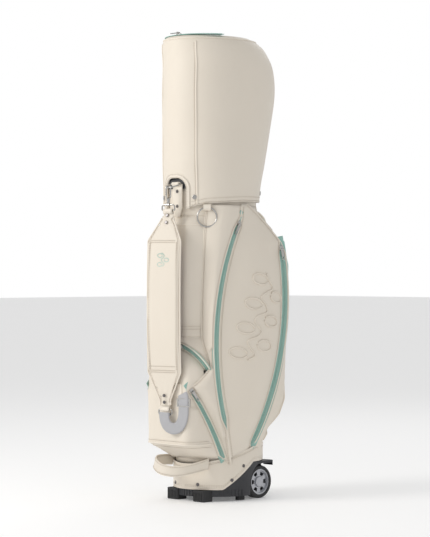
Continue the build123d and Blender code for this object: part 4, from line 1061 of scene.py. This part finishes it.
def flank_row(z, count):
    """Leather in front of the front zip, round to the front pockets' edge."""
    edge = front_edge(z, front_gap(z))
    start = front_edge(z, TAPE_COVER, LEATHER_LIFT + 0.6)
    x, y = row_at(POCKET_EDGE, z)
    end = vec(x, y, z)
    if SLANT_LOW < z < SLANT_HIGH:
        end = slant_edge(z, -LEATHER_EDGE)
    oval = tube_oval(z)
    depth = max(0.0, (start[1] - end[1]))
    control = vec(start[0] + 1.5, start[1] - 0.62 * depth, z)
    if start[1] < end[1] + 4:
        start = (edge + end) / 2 + vec(1.5, 0, 0)
        control = start
    row = np.vstack([bezier([edge, start], 4)[:-1], bezier([start, control, end], count - 3)])
    for k in range(count):
        reach = math.hypot(row[k][0] / (oval[1] + 1.6), (row[k][1] - oval[0]) / (oval[2] + 1.6))
        if reach < 1:
            row[k][0] /= reach
            row[k][1] = oval[0] + (row[k][1] - oval[0]) / reach
    return row


def gusset_row(z, count):
    """Leather behind the rear zip, round the corner and in to the tube's back."""
    start = rear_edge(z, rear_gap(z))
    corner = row_at(GUSSET_CORNER, z)
    oval = tube_oval(z)
    inner_x = 56.0
    tube_y = oval[0] + oval[2] * math.sqrt(1 - (inner_x / oval[1]) ** 2)
    back = max(tube_y + 1.0, corner[1] - 6)
    if corner[1] < 100:
        share = (corner[1] - 20) / 80
        inner = vec(100 - 44 * max(0, share), 0, z)
        inner[1] = oval[0] + (oval[2] + 1.0) * math.sqrt(max(0, 1 - (inner[0] / (oval[1] + 1)) ** 2))
        points = [start, vec(corner[0] + 1, corner[1] + 2, z), (start + inner) / 2 + vec(8, 8, 0) * share,
                  inner]
        return smooth_line(points, count)
    points = [start, vec(corner[0] + 1.5, corner[1] - 7, z), vec(corner[0] - 8, corner[1] + 1.5, z),
              vec(100, corner[1] + 2.0, z), vec(66, back, z), vec(inner_x - 8, tube_y + 1.5, z)]
    return smooth_line(points, count)


def add_side_pocket(side_name, flip):
    turn = mirrored if flip else (lambda points: np.asarray(points))
    seed = 11 if flip else 5
    cords, stitches = Pieces(), Pieces()

    leaf = panel_point_grid(70, 26)
    swell = ripple(70, 26, 0.7, waves=2, seed=seed)
    fade = np.sin(np.linspace(0, math.pi, 26)) ** 0.6
    shell("leaf_panel_" + side_name, turn(leaf), 3.0, CREAM, replaces=["side_panel_" + side_name],
          away=(0, 20, 450), relief=swell * fade[None, :])
    add_panel_sides(cords, stitches, leaf, flip)

    levels = np.linspace(102, 800, 80)
    flank = np.array([flank_row(z, 22) for z in levels])
    ease = np.sin(np.linspace(0, math.pi, 22))
    shell("flank_" + side_name, turn(flank), 2.6, CREAM, away=(0, 20, 450),
          relief=(0.8 + ripple(80, 22, 0.8, waves=3, seed=seed + 1)) * ease[None, :])
    add_panel_sides(cords, stitches, flank, flip)

    levels = np.linspace(124, 800, 76)
    gusset = np.array([gusset_row(z, 34) for z in levels])
    shell("rear_gusset_" + side_name, turn(gusset), 2.6, CREAM, replaces=["side_pocket_" + side_name],
          away=(0, 20, 450), relief=ripple(76, 34, 1.0, waves=3, seed=seed + 2) * np.sin(
              np.linspace(0, math.pi, 34))[None, :])
    add_panel_sides(cords, stitches, gusset, flip)
    corner = gusset[4:-6, 12] + vec(1.0, 1.0, 0)
    cords.add_cord(turn(corner), PIPING_RADIUS)
    cords.finish("side_piping_" + side_name, CREAM_TRIM)
    stitches.finish("side_stitching_" + side_name, THREAD)


add_side_pocket("left", False)
add_side_pocket("right", True)


# ---------------------------------------------------------------- front pockets
BALL_ROWS = [(118, 48, -100, 80, -66), (158, 72, -164, 88, -141), (312, 74, -164, 90, -143),
             (346, 72, -161, 90, -139)]
SLANT_FOOT_Z, SLANT_TOP_Z = 122.0, 312.0
ACCESSORY_ROWS = [(444, 48, -141, 74, -111), (540, 52, -147, 78, -113), (690, 52, -143, 80, -107),
                  (744, 50, -134, 78, -100)]
ACCESSORY_TOP = 744.0


def across_points(centre, corner, side, edge, count):
    """Outline from the +X edge round the front to the -X edge, with soft corners."""
    half = [edge, side, corner, vec(corner[0] * 0.5, centre[1] + 0.4, centre[2]), centre]
    half = smooth_line(half, count // 2 + 1)
    return np.vstack([half, mirrored(half[:-1][::-1])])


def ball_row(z, count):
    """One level of the ball pocket, up to where its top starts to turn back."""
    front_x, front_y, side_x, side_y = row_at(BALL_ROWS, z)
    if z < SLANT_FOOT_Z:
        edge = vec(97, -50, z)
    elif z < SLANT_TOP_Z - 8:
        edge = slant_edge(z, LEATHER_EDGE)
    else:
        x, y = row_at([(304, 80, -150), (312, 83, -146), (336, 96, -119), (350, 101, -102)], z)
        edge = vec(x, y, z)
    middle_x = (edge[0] + side_x) / 2 + 1.5
    side = vec(side_x + 1.0, side_y, z)
    corner = vec(front_x, front_y - 0.5, z)
    if edge[1] > side_y + 16:
        half = [edge, vec(middle_x, (edge[1] + side_y) / 2, z), side, corner]
    else:
        half = [edge, (edge + corner) / 2 + vec(3.0, -3.0, 0), corner]
    half += [vec(front_x * 0.5, front_y - 2.2, z), vec(0, front_y - 3.0, z)]
    half = smooth_line(half, count // 2 + 1)
    return np.vstack([half, mirrored(half[:-1][::-1])])


def arch_line(side, lift, count):
    return ARCH_ZIP.at(np.linspace(0.0, 1.0, count), side=side, lift=lift)


def add_ball_pocket():
    columns = 61
    low = [ball_row(z, columns) for z in (118, 126, 134, 142, 150, 158)]
    front = [ball_row(z, columns) for z in np.linspace(160, 340, 30)]
    top_edge = arch_line(-LEATHER_EDGE, LEATHER_LIFT, columns)
    start = front[-1]
    shoulder = [start * (1 - t) + top_edge * t + vec(0, -7, 7) * math.sin(t * math.pi)
                for t in np.linspace(0, 1, 12)]
    grid = np.array(low + front + shoulder[1:])
    ease = np.sin(np.linspace(0, math.pi, columns))
    relief = ripple(len(grid), columns, 0.9, waves=3, seed=21) * ease[None, :]
    shell("ball_pocket_leather", grid, 3.0, CREAM, replaces=["ball_pocket"], away=(0, 0, 250), relief=relief)
    cords, stitches = Pieces(), Pieces()
    seam = grid[5, 2:-2]
    cords.add_cord(seam + vec(0, 0, 0.5), PIPING_RADIUS + 0.2)
    normal = grid_normals(grid)
    if normal[20, columns // 2, 1] > 0:
        normal = -normal
    for row in (7, 4):
        add_stitches(stitches, grid[row, 3:-3] + normal[row, 3:-3] * 0.7, normal[row, 3:-3])
    for column in (0, columns - 1):
        inward = 2 if column == 0 else -2
        line = grid[:36, column]
        cords.add_cord(line, PIPING_RADIUS)
        shift = unit(grid[:36, column + inward] - line) * PIPING_SPREAD
        add_stitches(stitches, line + shift + normal[:36, column + inward] * 0.9,
                     normal[:36, column + inward])
    cords.add_cord(top_edge, PIPING_RADIUS)
    down = unit(grid[-3] - grid[-1]) * PIPING_SPREAD
    add_stitches(stitches, top_edge + down + normal[-2] * 1.2, normal[-2])

    upper = arch_line(LEATHER_EDGE, LEATHER_LIFT, columns)
    hem = accessory_row(446, columns)
    welt = []
    for t in np.linspace(0, 1, 12):
        welt.append(upper * (1 - t) + hem * t + vec(0, -4, 0) * math.sin(t * math.pi))
    welt = np.array(welt)
    shell("arch_welt", welt, 2.6, CREAM, away=(0, 0, 400))
    cords.add_cord(upper, PIPING_RADIUS)
    normal = grid_normals(welt)
    if normal[6, columns // 2, 1] > 0:
        normal = -normal
    for row in (2, 3):
        add_stitches(stitches, welt[row] + normal[row] * 0.7, normal[row])
    cords.finish("ball_pocket_piping", CREAM_TRIM)
    stitches.finish("ball_pocket_stitching", THREAD)


def accessory_row(z, count):
    front_x, front_y, side_x, side_y = row_at(ACCESSORY_ROWS, z)
    oval = tube_oval(z)
    edge_x = side_x + 2.5
    tube_y = oval[0] - oval[2] * math.sqrt(1 - (edge_x / oval[1]) ** 2)
    edge = vec(edge_x, max(side_y + 5.0, min(tube_y - 1.0, side_y + 12.0)), z)
    return across_points(vec(0, front_y - 2.5, z), vec(front_x, front_y - 0.5, z),
                         vec(side_x, side_y - 1.0, z), edge, count)


def add_accessory_pocket():
    columns = 61
    rows = [accessory_row(z, columns) for z in np.linspace(444, ACCESSORY_TOP, 40)]
    last = rows[-1]
    oval = tube_oval(772)
    top = []
    for point in last:
        turn = math.atan2(point[0] / oval[1], -(point[1] - oval[0]) / oval[2])
        top.append(oval_point(oval, turn, 772, 1.5))
    top = np.array(top)
    for t in np.linspace(0.12, 1, 9):
        arc = math.sin(t * math.pi / 2)
        rows.append(last * (1 - t) + top * t + vec(0, -5.0, 6.0) * (arc - t))
    grid = np.array(rows)
    ease = np.sin(np.linspace(0, math.pi, columns))
    relief = ripple(len(grid), columns, 0.9, waves=3, seed=31) * ease[None, :]
    shell("accessory_pocket_leather", grid, 3.0, CREAM, replaces=["accessory_pocket"], away=(0, 0, 600),
          relief=relief)
    cords, stitches = Pieces(), Pieces()
    normal = grid_normals(grid)
    if normal[20, columns // 2, 1] > 0:
        normal = -normal
    for column, inward in ((0, 2), (columns - 1, -2)):
        line = grid[:, column]
        cords.add_cord(line, PIPING_RADIUS)
        shift = unit(grid[:, column + inward] - line) * PIPING_SPREAD
        add_stitches(stitches, line + shift + normal[:, column + inward] * 0.8, normal[:, column + inward])
    for row in (3, 4):
        add_stitches(stitches, grid[row] + normal[row] * 0.7, normal[row])
    cords.add_cord(grid[40] + normal[40] * 0.2, PIPING_RADIUS)
    cords.add_cord(grid[0] + normal[0] * 0.2, PIPING_RADIUS)
    cords.finish("accessory_piping", CREAM_TRIM)
    stitches.finish("accessory_stitching", THREAD)


add_ball_pocket()
add_accessory_pocket()


# ---------------------------------------------------------------- strap
STRAP_ORIGIN = vec(10.0, -168.4, 0.0)
STRAP_TURN = math.radians(14)
STRAP_ACROSS = vec(math.cos(STRAP_TURN), math.sin(STRAP_TURN), 0)
STRAP_OUT = vec(math.sin(STRAP_TURN), -math.cos(STRAP_TURN), 0)
STRAP_SPINE = [(779.5, 0), (754.5, 6), (705, 20), (620, 23), (520, 24), (430, 23), (352, 20), (300, 16.5),
               (256, 14)]
STRAP_HALF = [(779.5, 18.5), (763, 19), (705, 52), (352, 52), (278, 17), (256, 16)]
STRAP_TOP, STRAP_LOW = 779.5, 256.0
STRAP_SEAM_TOP, STRAP_SEAM_LOW = 705.0, 352.0
RING_BAR, LOW_BAR = 785.5, 252.0
LOOP_RADIUS = 5.6


def strap_point(across, height, out):
    return STRAP_ORIGIN + STRAP_ACROSS * across + STRAP_OUT * out + vec(0, 0, height)


def strap_out(height):
    spine = np.array(STRAP_SPINE)[::-1]
    return float(np.interp(height, spine[:, 0], spine[:, 1]))


def strap_half(height):
    shape = np.array(STRAP_HALF)[::-1]
    return float(np.interp(height, shape[:, 0], shape[:, 1]))


def strap_thick(height):
    return float(np.interp(height, [256, 300, 352, 380, 680, 705, 740, 780],
                           [4.4, 4.6, 7.2, 10.5, 10.5, 7.2, 5.0, 4.4]))


def strap_face(share, height, lift=0.0, front=True):
    """Point on the pad's front or back: share runs from -1 to 1 across it."""
    round_off = max(0.0, 1 - abs(share) ** 3.2) ** 0.55
    depth = strap_thick(height) / 2 * (0.55 + 0.45 * round_off) + lift
    return strap_point(share * strap_half(height), height, strap_out(height) + (depth if front else -depth))


def inflate(obj, pinned, limit):
    """Lets a padded piece swell under a little pressure, then keeps the shape within a limit."""
    remesh = obj.modifiers.new("even", "REMESH")
    remesh.mode = "VOXEL"
    remesh.voxel_size = 0.0045
    graph = bpy.context.evaluated_depsgraph_get()
    even = bpy.data.meshes.new_from_object(obj.evaluated_get(graph))
    obj.modifiers.clear()
    obj.data = even
    group = obj.vertex_groups.new(name="pinned")
    for vertex in even.vertices:
        if pinned(vertex.co):
            group.add([vertex.index], 1.0, "ADD")
    before = np.array([vertex.co[:] for vertex in even.vertices])
    cloth = obj.modifiers.new("swell", "CLOTH")
    cloth.settings.quality = 6
    cloth.settings.mass = 0.3
    cloth.settings.tension_stiffness = 25
    cloth.settings.bending_stiffness = 2.0
    cloth.settings.use_pressure = True
    cloth.settings.uniform_pressure_force = 4.0
    cloth.settings.effector_weights.gravity = 0.0
    cloth.settings.vertex_group_mass = "pinned"
    cloth.point_cache.frame_start, cloth.point_cache.frame_end = 1, 20
    for step in range(1, 21):
        bpy.context.scene.frame_set(step)
    graph = bpy.context.evaluated_depsgraph_get()
    swollen = obj.evaluated_get(graph).data
    after = np.array([vertex.co[:] for vertex in swollen.vertices])
    obj.modifiers.clear()
    move = after - before
    size = np.linalg.norm(move, axis=1, keepdims=True)
    move *= np.minimum(1.0, limit * MM / np.maximum(size, 1e-9))
    for vertex, spot in zip(even.vertices, before + move):
        vertex.co = spot
    for polygon in even.polygons:
        polygon.use_smooth = True
    bpy.context.scene.frame_set(1)


def add_strap():
    heights = np.linspace(STRAP_TOP, STRAP_LOW + 3, 90)
    shares = np.sin(np.linspace(-math.pi / 2, math.pi / 2, 25))
    rings = []
    for height in heights:
        front = [strap_face(s, height) for s in shares]
        back = [strap_face(s, height, front=False) for s in shares[::-1][1:-1]]
        rings.append(front + back)
    rings = np.array(rings)
    count = rings.shape[1]
    faces = grid_faces(len(heights), count, round_columns=True)
    faces.append(list(range(count))[::-1])
    faces.append(list(range((len(heights) - 1) * count, len(heights) * count)))
    pad = finish_mesh("strap_pad_body", rings.reshape(-1, 3), faces, CREAM, body=None)
    inflate(pad, lambda co: co.z > (STRAP_SEAM_TOP - 8) * MM or co.z < (STRAP_SEAM_LOW + 6) * MM, 1.6)
    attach(pad, "strap")
    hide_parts("strap_pad")

    cords, stitches = Pieces(), Pieces()
    for bar, out, half in ((RING_BAR, 0.0, 14.0), (LOW_BAR, 14.0, 14.0)):
        upward = bar > 500
        ring = []
        for turn in np.linspace(-0.5, math.pi + 0.5, 22) + (0 if upward else math.pi):
            ring.append((out + LOOP_RADIUS * math.cos(turn), bar + LOOP_RADIUS * math.sin(turn)))
        reach = -9.0 if upward else 9.0
        line = [(ring[0][0], bar + reach)] + ring + [(ring[-1][0], bar + reach)]
        band = np.array([[strap_point(a, z, o) for a in np.linspace(-half, half, 5)] for o, z in line])
        shell("strap_loop_" + ("top" if upward else "low"), band, 2.6, CREAM_TRIM, body="strap",
              away=strap_point(0, bar, out))
    edge_heights = np.linspace(STRAP_TOP - 14, STRAP_LOW + 8, 120)
    for sign in (-1, 1):
        line = smooth_line([strap_face(sign, h) * 0.5 + strap_face(sign, h, front=False) * 0.5
                            for h in edge_heights],
                           200)
        cords.add_cord(line, PIPING_RADIUS + 0.3)
        for inset in (0.86, 0.80):
            heights_in = [h for h in edge_heights
                          if inset > 0.85 or STRAP_SEAM_LOW < h < STRAP_SEAM_TOP]
            row = [strap_face(sign * inset, h, 0.9) for h in heights_in]
            add_stitches(stitches, row, STRAP_OUT)
            if inset > 0.85:
                add_stitches(stitches, [strap_face(sign * inset, h, 0.9, front=False) for h in heights_in],
                             -STRAP_OUT)
    for height in (STRAP_SEAM_TOP, STRAP_SEAM_TOP - 5, STRAP_SEAM_LOW, STRAP_SEAM_LOW + 5,
                   STRAP_SEAM_LOW + 16):
        row = [strap_face(s, height, 0.9) for s in np.linspace(-0.82, 0.82, 20)]
        add_stitches(stitches, row, STRAP_OUT)
    cords.finish("strap_piping", CREAM_TRIM, body="strap")
    stitches.finish("strap_stitching", THREAD, body="strap")
    shares = np.linspace(-0.9, 0.9, 13)
    lining = np.array([[strap_face(s, h, 1.9, front=False) for s in shares]
                       for h in np.linspace(STRAP_SEAM_TOP - 6, STRAP_SEAM_LOW + 4, 60)])
    shell("strap_underside", lining, 1.2, MAUVE, body="strap", away=strap_point(0, 500, 22))


def flourish(pieces, place, size, radius, count):
    """Generic row of leaning loops on a wavy stem; place maps plane coordinates to a point on a surface."""
    stem = [(0.42 * math.sin(k * 1.7), k * 0.5) for k in range(2 * count + 1)]
    curls = [stem]
    for k in range(count):
        turn = np.linspace(0.3, 2 * math.pi - 0.2, 9)
        sign = 1 if k % 2 else -1
        curls.append([(sign * (0.85 - 0.62 * math.cos(t)) + 0.1, k + 0.4 + 0.42 * math.sin(t)) for t in turn])
    for curl in curls:
        line = smooth_line([(x * size, y * size) for x, y in curl], 60)
        pieces.add_cord(np.array([place(x, y) for x, y in line]), radius, 8)


MAUVE = woven("mauve_underside", (0.36, 0.32, 0.36), (0.30, 0.27, 0.30), 3000.0, 0.3, rough=0.85)
add_strap()


# ---------------------------------------------------------------- webbing, tabs and handles
def ribbon(name, line, wide, half, thick, material, body="bag"):
    """Flat band along a line: wide gives the direction of its width at each point."""
    line = np.asarray(line, dtype=float)
    wide = unit(np.broadcast_to(np.asarray(wide, dtype=float), line.shape))
    grid = np.array([[p + w * a for a in np.linspace(-half, half, 7)] for p, w in zip(line, wide)])
    normal = grid_normals(grid)
    grid = grid + normal * thick / 2
    return shell(name, grid, thick, material, body=body)


def add_webbing():
    """One strip: looped on the lower ring, hanging in a twisted U, through the slide and up to its tab."""
    route = [(0, 245, 20.0), (0, 236, 20.5), (2, 222, 19.5), (9, 209, 17.5), (24, 202, 16.5), (41, 206, 15.5),
             (52, 220, 14.5), (57, 240, 14.0), (58, 262, 14.6), (58, 272, 15.8), (58, 283, 14.6),
             (52, 296, 11.0)]
    line = smooth_line(route, 80)
    points = np.array([strap_point(a, h, o) for a, h, o in line])
    along = unit(np.gradient(points, axis=0))
    wide = [unit(np.cross(t, STRAP_OUT)) for t in along]
    band = ribbon("webbing_loop", points, wide, 15.5, 1.8, WEBBING, body=None)
    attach(band, "strap")
    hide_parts("strap_webbing")
    turns = np.linspace(math.pi * 0.45, math.pi * 2.55, 30)
    bar = LOW_BAR - 13.0
    ring = [(14.0 + 4.0 * math.cos(t), bar + 4.0 * math.sin(t)) for t in turns]
    loop = np.array([[strap_point(a, z, o) for a in np.linspace(-15, 15, 5)] for o, z in ring])
    shell("webbing_fold", loop, 1.6, WEBBING, body="strap", away=strap_point(0, bar, 14))


GRAB_PATH = [(-71, -78, 106), (-69, -112, 108), (-62, -146, 108), (-40, -170, 101), (0, -182, 90),
             (38, -164, 86),
             (62, -126, 93), (72, -79, 103)]


def add_grab_handle():
    line = smooth_line(GRAB_PATH, 90)
    tilt = np.linspace(0, 1, 90)
    lean = [vec(0.1, 0.25 * math.sin(t * math.pi), 1.0) for t in tilt]
    ribbon("grab_handle_band", line, lean, 13.0, 4.2, CREAM, body="grab_handle")
    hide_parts("grab_handle")
    cords, stitches = Pieces(), Pieces()
    side = unit(np.cross(np.gradient(line, axis=0), unit(np.array(lean))))
    lean = unit(np.array(lean))
    for edge in (-10.5, 10.5):
        for face in (-1, 1):
            add_stitches(stitches, line[3:-3] + lean[3:-3] * edge + side[3:-3] * face * 2.3,
                         side[3:-3] * face)
    for edge in (-13.0, 13.0):
        cords.add_cord(line + lean * edge, 1.9)
    cords.finish("grab_handle_edge", CREAM_TRIM, body="grab_handle")
    stitches.finish("grab_handle_stitching", THREAD, body="grab_handle")


REAR_HANDLE_PATH = [(129, 820), (132, 806), (150, 794), (178, 782), (196, 764), (201, 735), (202, 705),
                    (199, 678),
                    (180, 650), (156, 630), (142, 616), (137, 592)]


def add_rear_handle():
    profile = smooth_line([(0, y, z) for y, z in REAR_HANDLE_PATH], 90)
    ribbon("rear_handle_band", profile, (1, 0, 0), 15.0, 5.0, CREAM)
    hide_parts("rear_handle")
    cords, stitches = Pieces(), Pieces()
    along = unit(np.gradient(profile, axis=0))
    out = np.cross(along, [1.0, 0, 0])
    for edge in (-15.0, 15.0):
        cords.add_cord(profile + vec(edge, 0, 0), 2.2)
    for edge in (-11.0, 11.0):
        for face in (-1, 1):
            add_stitches(stitches, profile[2:-2] + vec(edge, 0, 0) + out[2:-2] * face * 2.7, out[2:-2] * face)
    cords.finish("rear_handle_edge", CREAM_TRIM)
    stitches.finish("rear_handle_stitching", THREAD)


def add_mesh_pockets():
    for side_name, flip in (("left", False), ("right", True)):
        turn = mirrored if flip else (lambda points: np.asarray(points))
        rows = []
        for z in np.linspace(566, 762, 40):
            corner = row_at(GUSSET_CORNER, z)
            swell = 14 * math.sin((z - 560) / 204 * math.pi)
            oval = tube_oval(z)
            x_in = 62.0
            tube_y = oval[0] + oval[2] * math.sqrt(1 - (x_in / oval[1]) ** 2)
            rows.append(smooth_line([(corner[0] - 2, corner[1] - 6, z),
                                     (corner[0] - 10, corner[1] + swell * 0.6, z),
                                     (110, corner[1] * 0.6 + tube_y * 0.4 + swell + 4, z),
                                     (82, tube_y + swell + 8, z), (x_in, tube_y + 2, z)], 30))
        rows = np.array(rows)
        shell("mesh_pocket_" + side_name, turn(rows), 1.0, NET, away=(0, 20, 650))
        binding = Pieces()
        binding.add_cord(turn(rows[-1]), 3.2)
        binding.add_cord(turn(rows[0]), 2.2)
        binding.finish("mesh_binding_" + side_name, TAPE)
    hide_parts("mesh_pockets")


def add_motifs():
    """Raised generic flourishes where a maker would put a mark."""
    threads = Pieces()
    flourish(threads, lambda x, y: strap_face(x / 52.0, 636 + y, 0.9), 12.0, 0.8, 3)
    threads.finish("strap_motif", TEAL_THREAD, body="strap")
    grid = panel_point_grid(70, 26)
    normal = grid_normals(grid)
    flip = -1.0 if normal[:, :, 0].sum() < 0 else 1.0
    for side_name, mirror in (("left", False), ("right", True)):
        raised = Pieces()

        def place(x, y):
            u = min(max(10.0 + x * 0.15 + y * 0.032, 0.0), 24.9)
            v = min(max(26.0 + y * 0.098 - x * 0.035, 0.0), 68.9)
            i, j = int(v), int(u)
            point = grid[i, j] * (1 - u + j) + grid[i, min(j + 1, 25)] * (u - j)
            upper = grid[i + 1, j] * (1 - u + j) + grid[i + 1, min(j + 1, 25)] * (u - j)
            point = point * (1 - v + i) + upper * (v - i)
            return point + normal[i, j] * flip * 0.9

        flourish(raised, place, 34.0, 2.2, 7)
        if mirror:
            raised.verts = [mirrored(rows) for rows in raised.verts]
        raised.finish("leaf_motif_" + side_name, CREAM)


add_webbing()
add_grab_handle()
add_rear_handle()
add_mesh_pockets()
add_motifs()
